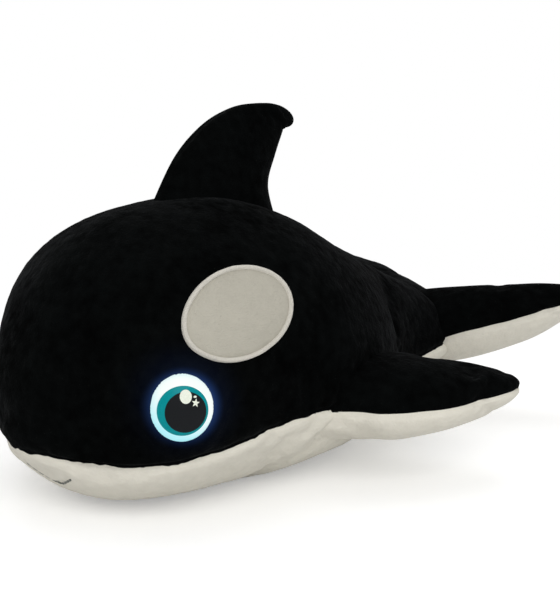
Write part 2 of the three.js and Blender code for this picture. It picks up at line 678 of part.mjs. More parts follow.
const printOuter = printInner + eye.print.thickness;
const oval = (manifold) => geometryOf(manifold).applyMatrix4(eyeOval);
const pupilCut = aimed(cap(innerRadius, printOuter + overrun, eye.print.pupilRadius + gap), eye.aim.pupil);
const iris = aimed(cap(printInner, printOuter, eye.print.irisRadius), eye.aim.iris).subtract(pupilCut);
const pupil = aimed(cap(printInner, printOuter, eye.print.pupilRadius), eye.aim.pupil);
const glintInner = printOuter + gap;
const glintOuter = glintInner + eye.print.thickness;
const tallGlint = new THREE.Matrix4().makeScale(eye.glint.radius / eye.glint.height, 1, 1);
const glintCap = cap(glintInner, glintOuter, eye.glint.height, 12).applyMatrix4(tallGlint);
const glint = aimed(glintCap, eye.aim.glint);
const dot = aimed(cap(glintInner, glintOuter, eye.glint.dotRadius, 8), eye.aim.dot);
const baseTop = domeFoot + eye.base.thickness;
const baseRadius = innerRim - gap;
const base = turned([
  [eye.base.boreRadius, baseTop],
  [eye.base.boreRadius, -stemDepth],
  [eye.base.stemRadius, -stemDepth],
  [eye.base.stemRadius, domeFoot],
  [baseRadius, domeFoot],
  [baseRadius, baseTop],
  [eye.base.boreRadius, baseTop],
], 24);
const washer = turned([
  [eye.base.stemRadius + gap, washerTop],
  [eye.base.stemRadius + gap, washerTop - eye.washer.thickness],
  [eye.washer.radius, washerTop - eye.washer.thickness],
  [eye.washer.radius, washerTop],
  [eye.base.stemRadius + gap, washerTop],
], 20);
const lampFoot = -led.sink - led.flange;
const lampShoulder = lampFoot + led.length - led.radius;
const lamp = turned([
  [0, lampFoot],
  [led.flangeRadius, lampFoot],
  [led.flangeRadius, -led.sink],
  [led.radius, -led.sink],
  [led.radius, lampShoulder],
  [led.radius * Math.SQRT1_2, lampShoulder + led.radius * Math.SQRT1_2],
  [0, lampShoulder + led.radius],
], 14);

for (const side of ["left", "right"]) {
  const way = side === "left" ? 1 : -1;
  const head = new THREE.Group();
  head.scale.set(way, 1, 1);
  group.add(head);
  const socket = new THREE.Group();
  socket.applyMatrix4(eyeFrame);
  head.add(socket);
  piece(side + "_eye_dome", dome.clone().applyMatrix4(eyeOval), "milky", socket);
  piece(side + "_eye_iris", oval(iris), "teal", socket);
  piece(side + "_eye_pupil", oval(pupil), "pupil", socket);
  piece(side + "_eye_glint", oval(glint), "glint", socket);
  piece(side + "_eye_glint_dot", oval(dot), "glint", socket);
  piece(side + "_eye_base", solid(base, eyeOval), "whitePlastic", socket);
  piece(side + "_eye_washer", washer, "whitePlastic", socket);
  piece(side + "_eye_lamp", lamp, "lamp", socket);
  piece(side + "_eye_lead", way > 0 ? leadTube : mirrored(leadTube), "cable");
}

// The battery box: case, lid and cover
const yBay = [box.front + box.wall, divider];
const yCells = [bayFront, rear - box.wall];
const xIn = [-half + box.wall, half - box.wall];
const slot = [slider.place - slider.width / 2 - gap, slider.place + slider.travel + slider.width / 2 + gap];
const bayMiddle = (yBay[0] + yBay[1]) / 2;
const bossZ = [floorTop + gap, floorTop + gap + boss.height];
const bossSolid = rod(boss.radius, ...bossZ)
  .subtract(rod(screw.radius + gap, floorTop, floorTop + screw.length + gap));
const bossBridge = block([-boss.radius, boss.radius], [rear - box.wall / 2, bossY], bossZ)
  .subtract(moved(rod(screw.radius + gap, 0, reachAll), 0, bossY));
const throughFloor = [boxBottom - overrun, floorTop + overrun];
const lidScrewY = rear - box.wall - lid.inset;
const lidPost = moved(rod(lid.screw.headRadius, webTop - web.thickness / 2, boxTop, 12), 0, lidScrewY);
const lidHole = moved(rod(lid.screw.radius + gap, webTop + gap, reachAll, 12), 0, lidScrewY);
const caseSolid = block([-half, half], [box.front, rear], [boxBottom, boxTop])
  .subtract(block(xIn, yBay, [floorTop, boxTop + overrun]))
  .subtract(block(xIn, yCells, [boxBottom - overrun, webBottom]))
  .subtract(block([-half - overrun, half + overrun], [bayFront - box.wall / 2, rear + overrun],
    [boxBottom - overrun, floorTop + gap]))
  .subtract(block(xIn, [yBay[0], yCells[1]], [webTop, boxTop + overrun]))
  .add(moved(bossSolid, 0, bossY))
  .add(bossBridge)
  .subtract(moved(rod(button.radius + gap, ...throughFloor), button.place, bayMiddle))
  .subtract(block(slot, [bayMiddle - slider.depth / 2 - gap, bayMiddle + slider.depth / 2 + gap],
    throughFloor))
  .add(lidPost)
  .subtract(lidHole);
piece("battery_case", caseSolid, "blackPlastic");
const lidSolid = block([-half, half], [box.front, rear], [lidBottom, lidTop])
  .subtract(lidHole)
  .subtract(feeds(feed.radius, [lidBottom - overrun, lidTop + overrun]));
piece("case_lid", lidSolid, "blackPlastic");
const screwTipShare = 0.6;
const screwShape = ({ radius, headRadius, headHeight, length }, tip) => turned([
  [0, tip],
  [radius * screwTipShare, tip],
  [radius, tip + radius],
  [radius, tip + length],
  [headRadius, tip + length],
  [headRadius, tip + length + headHeight],
  [0, tip + length + headHeight],
], 12);
const lidScrew = screwShape(lid.screw, lidTop - lid.screw.length);
piece("lid_screw", lidScrew.translate(0, lidScrewY, 0), "metal");

const coverSolid = block([-half, half], [bayFront - box.wall / 2 + gap, rear], [boxBottom, floorTop])
  .add(moved(rod(boss.radius, boxBottom, floorTop), 0, bossY))
  .add(block([-boss.radius, boss.radius], [rear - box.wall, bossY], [boxBottom, floorTop]))
  .subtract(moved(rod(screw.radius + gap, ...throughFloor), 0, bossY));
piece("battery_cover", coverSolid, "blackPlastic");
const coverScrew = screwShape({ ...screw, length: screw.length + box.floor }, 0);
coverScrew.rotateX(Math.PI);
coverScrew.translate(0, bossY, floorTop + screw.length - gap);
piece("cover_screw", coverScrew, "metal");

// Cells and their contacts
const cellFront = bayFront + gap + contact.plate + contact.spring + gap;
for (let i = 0; i < cell.count; i++) {
  const shape = turned([
    [0, 0],
    [cell.radius, 0],
    [cell.radius, cell.length - cell.nub],
    [cell.nubRadius, cell.length - cell.nub],
    [cell.nubRadius, cell.length],
    [0, cell.length],
  ], 16);
  shape.rotateX(-Math.PI / 2);
  const battery = piece("battery_cell_" + (i + 1), shape, "jacket");
  battery.position.set((i - (cell.count - 1) / 2) * cell.pitch, cellFront, cellZ);
}
const plateX = xIn[1] - gap;
const plateZ = [floorTop + gap, webBottom - gap];
let springs = block([-plateX, plateX], [bayFront + gap, bayFront + gap + contact.plate], plateZ);
for (let i = 0; i < cell.count; i++) {
  const cone = turned([
    [0, 0],
    [contact.springRadius, 0],
    [contact.tipRadius, contact.spring + contact.plate / 2],
    [0, contact.spring + contact.plate / 2],
  ], 12);
  cone.rotateX(-Math.PI / 2);
  const start = bayFront + gap + contact.plate / 2;
  cone.translate((i - (cell.count - 1) / 2) * cell.pitch, start, cellZ);
  springs = springs.add(solid(cone));
}
piece("spring_contacts", springs, "metal");
piece("plate_contacts", block([-plateX, plateX],
  [cellFront + cell.length + gap, cellFront + cell.length + gap + contact.plate], plateZ), "metal");

// The circuit board, its push switch and the two controls
const boardSolid = block([xIn[0] + gap, xIn[1] - gap], [yBay[0] + board.margin, yCells[1] - board.margin],
  [boardBottom, boardTop]).subtract(moved(rod(lid.screw.headRadius + gap, 0, reachAll), 0, lidScrewY));
piece("circuit_board", boardSolid, "circuit");
const tactTop = boardBottom - gap;
const tactBottom = tactTop - tact.height;
const plungerBottom = tactBottom - tact.plunger;
const tactSide = [-tact.width / 2, tact.width / 2];
const tactSolid = block(tactSide, tactSide, [tactBottom, tactTop])
  .add(rod(tact.plungerRadius, plungerBottom, tactTop, 12));
piece("push_switch", geometryOf(tactSolid), "greyPlastic").position.set(button.place, bayMiddle, 0);
const collarFoot = floorTop + gap;
piece("push_button", turned([
  [0, boxBottom - button.proud],
  [button.radius, boxBottom - button.proud],
  [button.radius, collarFoot],
  [button.collarRadius - gap, collarFoot],
  [button.collarRadius - gap, collarFoot + button.collar],
  [button.stemRadius, collarFoot + button.collar],
  [button.stemRadius, plungerBottom - button.travel - gap],
  [0, plungerBottom - button.travel - gap],
], 20), "whitePlastic").position.set(button.place, bayMiddle, 0);
const housingX = [slider.place + slider.travel / 2 - housing.width / 2,
  slider.place + slider.travel / 2 + housing.width / 2];
const housingY = [bayMiddle - housing.depth / 2, bayMiddle + housing.depth / 2];
const housingFoot = floorTop + gap;
const shrunk = ([a, b]) => [a + housing.wall, b - housing.wall];
piece("slide_switch_body", block(housingX, housingY, [housingFoot, housingFoot + housing.height])
  .subtract(block(shrunk(housingX), shrunk(housingY),
    [housingFoot - overrun, housingFoot + housing.height - housing.wall])), "greyPlastic");
const plateDeep = housing.depth / 2 - housing.wall - gap;
const knobStem = block([slider.place - slider.width / 2, slider.place + slider.width / 2],
  [bayMiddle - slider.depth / 2, bayMiddle + slider.depth / 2],
  [boxBottom - slider.proud, housingFoot + gap]);
const knobPlate = block([slider.place - slider.plateWidth / 2, slider.place + slider.plateWidth / 2],
  [bayMiddle - plateDeep, bayMiddle + plateDeep],
  [housingFoot, housingFoot + slider.plate]);
piece("slide_switch_knob", knobStem.add(knobPlate), "whitePlastic");

export default group;
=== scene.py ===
"""Looks of the plush orca night light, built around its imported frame. Metres, +Z up, the nose towards -Y."""
import json
import math
from contextlib import contextmanager
from functools import partial

import bmesh
import bpy
import numpy as np
from bpy.props import FloatProperty, FloatVectorProperty, IntProperty, PointerProperty
from mathutils import Matrix, Vector, noise
from mathutils.bvhtree import BVHTree
from mathutils.kdtree import KDTree


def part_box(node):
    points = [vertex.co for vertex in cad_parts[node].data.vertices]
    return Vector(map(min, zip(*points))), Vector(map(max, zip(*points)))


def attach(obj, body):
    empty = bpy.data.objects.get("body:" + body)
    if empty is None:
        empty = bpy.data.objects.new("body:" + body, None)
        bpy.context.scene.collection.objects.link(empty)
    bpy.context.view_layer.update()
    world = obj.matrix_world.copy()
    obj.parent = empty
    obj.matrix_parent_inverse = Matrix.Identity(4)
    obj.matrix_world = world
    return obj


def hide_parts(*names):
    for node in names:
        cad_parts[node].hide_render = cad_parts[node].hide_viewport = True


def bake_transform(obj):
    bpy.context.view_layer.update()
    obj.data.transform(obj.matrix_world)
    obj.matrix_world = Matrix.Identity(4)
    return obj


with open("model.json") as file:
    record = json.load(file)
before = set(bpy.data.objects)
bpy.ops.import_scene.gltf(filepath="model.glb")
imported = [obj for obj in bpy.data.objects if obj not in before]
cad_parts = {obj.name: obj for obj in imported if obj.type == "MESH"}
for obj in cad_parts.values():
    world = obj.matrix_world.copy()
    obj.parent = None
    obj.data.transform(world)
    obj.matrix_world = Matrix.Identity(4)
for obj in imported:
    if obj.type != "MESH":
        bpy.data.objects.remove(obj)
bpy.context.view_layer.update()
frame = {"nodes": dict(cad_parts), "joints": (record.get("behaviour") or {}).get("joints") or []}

bl_info = {
    "name": "Plush orca night light",
    "version": (1, 0, 0),
    "blender": (4, 5, 0),
    "location": "3D View > Sidebar > Night Light",
    "description": "Sews, stuffs and lights a plush orca around its frame",
    "category": "Add Mesh",
}

UP = Vector((0, 0, 1))
TARGET = Vector((0, 0, 0.08))  # what the lamps and the camera look at

# The stuffed body: its sizes, then shares of them
NOSE, LENGTH, HALF_WIDTH, HEIGHT, REST_CUT = -0.178, 0.362, 0.097, 0.173, 0.0005
SECTION_POWER = 2.13
# along the length, half width, top, bottom, height of the widest line, height of the colour seam
BODY_SHARES = [
    [0, 0, 0.33, 0.33, 0.33, 0.25],
    [0.0276, 0.315, 0.575, 0.19, 0.39, 0.236],
    [0.0994, 0.7, 0.805, 0.058, 0.41, 0.215],
    [0.1878, 0.928, 0.942, 0.018, 0.4, 0.247],
    [0.337, 0.99, 1, 0.006, 0.387, 0.31],
    [0.4724, 1, 0.964, 0, 0.364, 0.321],
    [0.6077, 0.845, 0.848, 0.006, 0.341, 0.303],
    [0.768, 0.53, 0.71, 0.078, 0.329, 0.305],
    [0.9061, 0.42, 0.593, 0.171, 0.329, 0.325],
    [1, 0.37, 0.53, 0.249, 0.332, 0.35],
]
BODY_END, END_ROLL = 0.177, 0.009  # where the tail stock is sewn to the tail fin, and how far it rolls in
PLUSH = 0.003  # thickness of the plush with its backing
STUFFING_ROOM = 0.0005  # between the stuffing and the pouch in it

# How the forms are stuffed: the cloth's pressure, and the frames that it runs
PRESSURE, FRAMES = 4.0, 20

# A flipper: out from its bend line, front edge, rear edge, thickness, rise
FLIPPER_REACH, FLIPPER_CHORD, FLIPPER_THICK, FLIPPER_LIFT = 0.066, 0.091, 0.0485, 0.0055
FLIPPER_BEND = 0.014  # to each side of the bend line
FLIPPER_SHARES = [
    [-0.7, -0.648, 0.363, 1.05, 0],
    [-0.106, -0.456, 0.577, 1.05, 0.3],
    [0.197, -0.385, 0.626, 0.98, 0.26],
    [0.606, -0.132, 0.703, 0.71, 0.45],
    [0.818, 0.165, 0.66, 0.5, 0.74],
    [1, 0.495, 0.495, 0, 1],
]

# A lobe of the tail fin: out from the middle, front edge, rear edge, thickness, rise
FLUKE_REACH, FLUKE_CHORD, FLUKE_THICK, FLUKE_RISE, FLUKE_SINK = 0.127, 0.062, 0.059, 0.035, 0.003
FLUKE_HUB_SHARE, FLUKE_BEND = 0.13, 0.016
FLUKE_SHARES = [
    [0, -0.45, 0.613, 1, 0],
    [0.291, -0.27, 0.871, 0.94, 0.208],
    [0.567, 0.097, 1.113, 0.732, 0.478],
    [0.803, 0.565, 1.177, 0.375, 0.785],
    [1, 1.032, 1.032, 0, 1],
]

# The back fin: height in front, front edge, rear edge, height behind, thickness
FIN_HEIGHT, FIN_LENGTH, FIN_THICK, FIN_START_SHARE = 0.0625, 0.12, 0.036, 0.278
FIN_SHARES = [
    [-0.3, -0.04, 0.92, -0.57, 1],
    [-0.1, 0.01, 0.85, -0.37, 1],
    [0.36, 0.165, 0.78, 0.02, 0.83],
    [0.65, 0.34, 0.83, 0.33, 0.68],
    [0.81, 0.53, 0.87, 0.5, 0.56],
    [0.86, 0.7, 0.89, 0.58, 0.46],
    [0.85, 0.84, 0.91, 0.6, 0.4],
    [0.72, 0.975, 0.975, 0.72, 0],
]

# Trim
PATCH_LENGTH, PATCH_HEIGHT, PATCH_RISE, RIM_WIDTH, RIM_RISE = 0.0745, 0.0498, 0.0016, 0.0028, 0.0021
PATCH_SHARE, PATCH_ANGLE, PATCH_TILT = 0.2548, 27.8, 16
MOUTH_HALF, MOUTH_HEIGHT, MOUTH_BOW, MOUTH_SLOPE = 0.0215, 0.0132, 0.0028, 0.52
CORNER = ((0.013, 0.0208), (0.0085, 0.0204), (0.004, 0.0199))  # a thin dark line of thread above the mouth on each side, as (x, z)
FOLD_DEPTH, FOLD_WIDTH = 0.0017, 0.0016
CHIN_BACK, CHIN_TOP, CHIN_HALF = -0.12, 0.036, 0.03  # the part of the belly that the mouth draws in

# Eyes
EYE_RADIUS, EYE_OVAL, EYE_HEIGHT, EYE_SKIRT, EYE_SEAT = 0.0186, 0.93, 0.0074, 0.0025, 0.0022
EYE_SHARE, EYE_ANGLE = 0.1419, 1
DOME_WALL = 0.0016
EYE_LIP, LIP_OVAL, LIP_BAND = 0.0178, 0.897, 0.00034  # the plush covers the dome from the lip out
RUFF_REACH, RUFF_DEPTH, RUFF_RISE = 0.031, 0.015, 0.0006  # the plush that is shaped round the eye
IRIS, PUPIL, GLINT = (0.0143, 0.0133), (0.01155, 0.0109), (0.0033, 0.0036)  # half width, half height
IRIS_AIM, PUPIL_AIM, GLINT_AIM = (0.2, -1.7), (3.5, -2.7), (3.4, 15)  # degrees towards the tail, then up
STAR_RADIUS, STAR_AIM, DOT, DOT_AIM = 0.0024, (14.6, 7.7), (0.0009, 0.0006), (14.4, 14.2)
INK, IRIS_LIFT, PUPIL_LIFT, GLINT_LIFT = 0.0001, 0.00005, 0.00015, 0.00028  # thickness, heights over the dome

DOME_RISE = EYE_HEIGHT - EYE_SKIRT + EYE_SEAT
DOME_SPHERE = (EYE_RADIUS ** 2 + DOME_RISE ** 2) / 2 / DOME_RISE
DOME_CENTRE = EYE_HEIGHT - DOME_SPHERE

# The flap in the belly
FLAP_HALF, FLAP_FRONT, FLAP_BACK, FLAP_EASE, FLAP_GAP = 0.024, 0.013, 0.0948, 0.0004, 0.0012

# Moulded plastic and pressed metal: colour, roughness, metallic
MOULDED = {
    "white_plastic": ((233, 233, 230), 0.45, 0),
    "black_plastic": ((34, 35, 38), 0.5, 0),
    "grey_plastic": ((141, 144, 147), 0.45, 0),
    "lamp_lens": ((232, 241, 245), 0.15, 0),
    "cable": ((42, 42, 44), 0.45, 0),
    "screw_steel": ((185, 188, 192), 0.3, 0.9),
    "contact_metal": ((190, 190, 186), 0.35, 0.9),
    "board_green": ((44, 106, 69), 0.4, 0),
    "cell_jacket": ((60, 111, 168), 0.35, 0),
}

# The finish of the frame's own parts, by a word in their names
FINISHES = {
    "_base": "white_plastic", "_washer": "white_plastic", "_lamp": "lamp_lens", "_lead": "cable",
    "battery_case": "black_plastic", "case_lid": "black_plastic", "_screw": "screw_steel",
    "battery_cover": "black_plastic", "battery_cell": "cell_jacket", "_contacts": "contact_metal",
    "circuit_board": "board_green", "push_switch": "grey_plastic", "push_button": "white_plastic",
    "slide_switch_body": "grey_plastic", "slide_switch_knob": "white_plastic", "_tape": "closing_tape",
    "battery_pouch": "pouch_cloth", "stuffing": "stuffing",
}


def srgb(*levels):
    """A colour given as 0 to 255, in Blender's linear values"""
    return tuple(v / 255 / 12.92 if v <= 10 else ((v / 255 + 0.055) / 1.055) ** 2.4 for v in levels)


class PlushSettings(bpy.types.PropertyGroup):
    black: FloatVectorProperty(name="Black plush", description="Colour of the back, flippers and fins",
                               subtype="COLOR", min=0, max=1, default=srgb(5, 6, 6))
    white: FloatVectorProperty(name="White plush", description="Colour of the belly and undersides",
                               subtype="COLOR", min=0, max=1, default=srgb(217, 213, 201))
    grey: FloatVectorProperty(name="Patch plush", description="Colour of the patch behind each eye",
                              subtype="COLOR", min=0, max=1, default=srgb(174, 170, 158))
    thread: FloatVectorProperty(name="Patch thread", description="Colour of the satin stitches",
                                subtype="COLOR", min=0, max=1, default=srgb(204, 200, 190))
    mouth: FloatVectorProperty(name="Mouth thread", description="Colour of the stitched mouth",
                               subtype="COLOR", min=0, max=1, default=srgb(80, 82, 74))
    seam_depth: FloatProperty(name="Seam depth", description="How deep the seams draw in",
                              subtype="DISTANCE", min=0, max=0.004, default=0.0016)
    seam_width: FloatProperty(name="Seam width", description="How far beside a seam the plush draws in",
                              subtype="DISTANCE", min=0.0005, max=0.01, default=0.0026)
    slack: FloatProperty(name="Slack", description="How much smaller the forms are before they are stuffed",
                         subtype="DISTANCE", min=0, max=0.006, default=0.0012)
    swell: FloatProperty(name="Swell", description="The most that a point moves when the forms are stuffed",
                         subtype="DISTANCE", min=0, max=0.01, default=0.005)
    stitches: IntProperty(name="Rim stitches", description="Satin stitches round each patch",
                          min=24, max=400, default=210)


class EyeSettings(bpy.types.PropertyGroup):
    sclera: FloatVectorProperty(name="Lit plastic", description="Colour of the lit dome",
                                subtype="COLOR", min=0, max=1, default=srgb(246, 253, 250))
    tint: FloatVectorProperty(name="Lower tint", description="Colour of the dome's lower edge",
                              subtype="COLOR", min=0, max=1, default=srgb(176, 240, 249))
    iris: FloatVectorProperty(name="Iris", description="Colour of the printed ring",
                              subtype="COLOR", min=0, max=1, default=srgb(0, 128, 134))
    pupil: FloatVectorProperty(name="Pupil", description="Colour of the printed pupil",
                               subtype="COLOR", min=0, max=1, default=srgb(26, 28, 30))
    glint: FloatVectorProperty(name="Highlight", description="Colour of the printed highlight",
                               subtype="COLOR", min=0, max=1, default=srgb(225, 230, 215))
    halo: FloatVectorProperty(name="Halo", description="Colour of the light on the pile around the eye",
                              subtype="COLOR", min=0, max=1, default=(0.1, 0.28, 1.0))
    glow: FloatProperty(name="Glow", description="Brightness of the lit dome",
                        min=0, max=5, default=0.84)
    spill: FloatProperty(name="Spill", description="Brightness of the light on the pile around the eye",
                         min=0, max=1, default=0.11)


class StageSettings(bpy.types.PropertyGroup):
    azimuth: FloatProperty(name="Camera azimuth", description="Degrees round from the nose, towards +X",
                           min=-180, max=180, default=45.8)
    elevation: FloatProperty(name="Camera elevation", description="Degrees above the level",
                             min=-90, max=90, default=11.4)
    distance: FloatProperty(name="Camera distance", description="From the target",
                            subtype="DISTANCE", min=0.2, max=5, default=0.7213)
    world: FloatProperty(name="World light", description="Strength of the surroundings",
                         min=0, max=2, default=0.6)
    key: FloatProperty(name="Key light", description="Power of the large lamp in front",
                       unit="POWER", min=0, max=100, default=10.0)
    top: FloatProperty(name="Top light", description="Power of the lamp above",
                       unit="POWER", min=0, max=100, default=5.5)


# Curves and stations
def spline(a, b, c, d, t):
    """The value at t on the way from b to c, by a smooth curve through all four"""
    return (2 * b + (c - a) * t + (2 * a - 5 * b + 4 * c - d) * t ** 2
            + (3 * b - a - 3 * c + d) * t ** 3) / 2


def smooth(rows, steps, before=None, after=None):
    """Rows of numbers joined by a smooth curve, each span in as many steps"""
    rows = np.array(rows, float)
    first = 2 * rows[0] - rows[1] if before is None else np.array(before, float)
    last = 2 * rows[-1] - rows[-2] if after is None else np.array(after, float)
    ends = np.vstack([first, rows, last])
    between = [spline(*ends[i:i + 4], s / steps) for i in range(len(rows) - 1) for s in range(steps)]
    return np.array([*between, rows[-1]])


def body_stations():
    along, wide, *heights = np.array(BODY_SHARES).T
    rows = np.column_stack([NOSE + along * LENGTH, wide * HALF_WIDTH,
                            *[share * HEIGHT - REST_CUT for share in heights]])
    y, w, top, bottom, widest, seam = rows[1]
    return smooth(rows, 48, before=[y, -w, bottom, top, widest, seam])


STATIONS = body_stations()


def station(y):
    """Half width, top, bottom, height of the widest line and height of the seam at a place along Y"""
    return [np.interp(y, STATIONS[:, 0], STATIONS[:, k]) for k in range(1, 6)]


def half_width(y, z):
    """How far the body reaches to each side at a place on its middle plane"""
    w, top, bottom, widest, _ = station(y)
    reach = np.where(z > widest, top - widest, widest - bottom)
    share = np.clip(np.abs(z - widest) / np.maximum(reach, 1e-9), 0, 1)
    return w * (1 - share ** SECTION_POWER) ** (1 / SECTION_POWER)


def powered(v):
    return math.copysign(abs(v) ** (2 / SECTION_POWER), v)


def body_point(share, angle):
    """A point on the body's left side"""
    y = NOSE + share * LENGTH
    w, top, bottom, widest, _ = station(y)
    up = powered(math.sin(angle))
    reach = top - widest if up > 0 else widest - bottom
    return Vector((w * powered(math.cos(angle)), y, widest + reach * up))


def surface_frame(share, degrees):
    """A frame on the body's left side: +Z out of it, +X towards the tail, +Y up"""
    angle = math.radians(degrees)
    step = 0.01
    along = body_point(share + step, angle) - body_point(share - step, angle)
    around = body_point(share, angle + step) - body_point(share, angle - step)
    out = along.cross(around).normalized()
    back = UP.cross(out).normalized()
    turn = Matrix((back, out.cross(back), out)).transposed().to_4x4()
    return Matrix.Translation(body_point(share, angle)) @ turn


def eye_frame(side=1):
    """The frame on the left eye's seat, or for side -1 the same on the right"""
    return Matrix.Scale(side, 4, (1, 0, 0)) @ surface_frame(EYE_SHARE, EYE_ANGLE)


def dome_height(radius):
    """How high the dome stands over its seat at a distance from its middle"""
    return DOME_CENTRE + math.sqrt(DOME_SPHERE ** 2 - radius ** 2)


def hinge(name):
    """Where a joint turns, and its axis"""
    joint = next(j for j in frame["joints"] if j["name"] == name)
    return Vector(joint["pos_m"]), Vector(joint["axis"])


def resampled(points, fractions):
    """Points of a curve at fractions of its length"""
    steps = np.linalg.norm(np.diff(points, axis=0), axis=1)
    length = np.concatenate([[0], np.cumsum(steps)])
    if length[-1] < 1e-9:
        return np.repeat(points[:1], len(fractions), axis=0)
    length /= length[-1]
    return np.column_stack([np.interp(fractions, length, points[:, k]) for k in range(points.shape[1])])


def gathered(count, edge_share):
    """Fractions from 0 to 1, closer together near both ends"""
    t = np.linspace(0, 1, count)
    return t - edge_share * np.sin(2 * math.pi * t) / (2 * math.pi)


def turns(count):
    """The angles of so many even steps round a circle"""
    return [k / count * 2 * math.pi for k in range(count)]


def ellipse(half_x, half_y, count=48):
    return [(half_x * math.cos(angle), half_y * math.sin(angle)) for angle in turns(count)]


# Meshes
def new_piece(name, points, faces, material, smooth_angle=60):
    mesh = bpy.data.meshes.new(name)
    mesh.from_pydata([tuple(p) for p in points], [], faces)
    piece = bpy.data.objects.new(name, mesh)
    bpy.context.collection.objects.link(piece)
    finish_mesh(piece, smooth_angle)
    if material:
        mesh.materials.append(material)
    return piece


@contextmanager
def editing(piece):
    """A piece's mesh, opened for changes and then written back"""
    work = bmesh.new()
    work.from_mesh(piece.data)
    yield work
    work.to_mesh(piece.data)
    work.free()


def finish_mesh(piece, smooth_angle=60):
    """Merges points that fell together, turns the faces outward and shades them smooth"""
    mesh, merge = piece.data, 1e-6
    with editing(piece) as work:
        bmesh.ops.remove_doubles(work, verts=work.verts, dist=merge)
        bmesh.ops.dissolve_degenerate(work, edges=work.edges, dist=merge)
        bmesh.ops.recalc_face_normals(work, faces=work.faces)
    mesh.polygons.foreach_set("use_smooth", [True] * len(mesh.polygons))
    mesh.set_sharp_from_angle(angle=math.radians(smooth_angle))
    mesh.update()


def finer(work, chosen):
    """Cuts the faces between chosen points of an opened mesh into smaller ones"""
    edges = [e for e in work.edges if e.verts[0] in chosen and e.verts[1] in chosen]
    bmesh.ops.subdivide_edges(work, edges=edges, cuts=3, use_grid_fill=True)


def grid_faces(rows, columns, start=0, closed=False):
    """Faces over a grid of points, kept row by row"""
    span = columns if closed else columns - 1
    return [(start + i * columns + j, start + i * columns + (j + 1) % columns,
             start + (i + 1) * columns + (j + 1) % columns, start + (i + 1) * columns + j)
            for i in range(rows - 1) for j in range(span)]


def tube_faces(rows, sides, start=0):
    """Faces over rings of points, and one more at each end"""
    last = start + (rows - 1) * sides
    return [*grid_faces(rows, sides, start, True), tuple(start + k for k in reversed(range(sides))),
            tuple(last + k for k in range(sides))]


def disc_faces(rings, sides):
    """Faces of a thin disc given as two layers of rings, each from near its middle to its edge"""
    layer, last = rings * sides, (rings - 1) * sides
    faces = grid_faces(rings, sides, 0, True)
    faces += [face[::-1] for face in grid_faces(rings, sides, layer, True)]
    for j in range(sides):
        k = (j + 1) % sides
        faces.append((last + j, last + k, layer + last + k, layer + last + j))
    return [*faces, tuple(range(sides)), tuple(layer + j for j in reversed(range(sides)))]


def joined(piece, *others):
    """Adds the meshes of other pieces of the same finish to one piece"""
    with editing(piece) as work:
        for other in others:
            work.from_mesh(other.data)
    for other in others:
        bpy.data.objects.remove(other)


def lathe(name, profile, matrix, material, sides=72):
    """A closed turned shape about +Z from a profile of (radius, height)"""
    points = [matrix @ Vector((r * math.cos(angle), r * math.sin(angle), h))
              for r, h in profile for angle in turns(sides)]
    return new_piece(name, points, grid_faces(len(profile), sides, 0, True), material, 50)


def block(name, low, high):
    low, high = Vector(low), Vector(high)
    corners = [(x, y, z) for x in (low.x, high.x) for y in (low.y, high.y) for z in (low.z, high.z)]
    faces = [(0, 1, 3, 2), (4, 6, 7, 5), (0, 4, 5, 1), (2, 3, 7, 6), (0, 2, 6, 4), (1, 5, 7, 3)]
    return new_piece(name, corners, faces, None, 30)


def mirrored(piece, name):
    """The same piece on the other side"""
    twin = piece.copy()
    twin.data = piece.data.copy()
    twin.name = name
    twin.data.transform(Matrix.Scale(-1, 4, (1, 0, 0)))
    twin.data.flip_normals()
    bpy.context.collection.objects.link(twin)
    return twin


def apply_modifiers(piece):
    """Keeps what the modifiers make and removes them"""
    evaluated = piece.evaluated_get(bpy.context.evaluated_depsgraph_get())
    mesh = bpy.data.meshes.new_from_object(evaluated)
    piece.modifiers.clear()
    piece.data = mesh


def boolean(piece, tool, operation):
    """Cuts one piece by another, which is then removed"""
    cut = piece.modifiers.new("cut", "BOOLEAN")
    cut.operation = operation
    cut.object = tool
    cut.solver = "EXACT"
    apply_modifiers(piece)
    bpy.data.objects.remove(tool)


def thickened(piece, thickness, group=None):
    """Gives an open piece its thickness, inwards, with next to none where a group's weight is 0"""
    solidify = piece.modifiers.new("thickness", "SOLIDIFY")
    solidify.thickness = thickness
    solidify.offset = -1
    if group:
        solidify.vertex_group = group.name
        solidify.thickness_vertex_group = 0.05
    apply_modifiers(piece)


def swelled(points, faces, held, cap, stretch):
    """Where a closed form's points go when it is stuffed: cloth under pressure, held at its seams.
    Gives the movement of each point, at most cap"""
    points = np.asarray(points)
    _, first, back = np.unique(np.round(points, 6), axis=0, return_index=True, return_inverse=True)
    back = back.ravel()
    welded = [list(dict.fromkeys(back[list(face)].tolist())) for face in faces]
    welded = [face for face in welded if len(face) > 2]
    form = new_piece("form", points[first], welded, None)
    group = form.vertex_groups.new(name="seams")
    group.add(sorted({int(back[i]) for i in held}), 1.0, "REPLACE")
    cloth = form.modifiers.new("stuffing", "CLOTH")
    cloth.settings.quality = 6
    cloth.settings.use_pressure = True
    cloth.settings.uniform_pressure_force = PRESSURE
    cloth.settings.shrink_min = -stretch
    cloth.settings.effector_weights.gravity = 0
    cloth.settings.vertex_group_mass = group.name
    cloth.point_cache.frame_start = 1
    cloth.point_cache.frame_end = FRAMES
    scene = bpy.context.scene
    for step in range(1, FRAMES + 1):
        scene.frame_set(step)
    evaluated = form.evaluated_get(bpy.context.evaluated_depsgraph_get())
    moved = np.empty(len(first) * 3)
    evaluated.data.vertices.foreach_get("co", moved)
    scene.frame_set(1)
    bpy.data.objects.remove(form)
    move = moved.reshape(-1, 3)[back] - points
    length = np.linalg.norm(move, axis=1, keepdims=True)
    return move * np.minimum(1, cap / np.maximum(length, 1e-9))


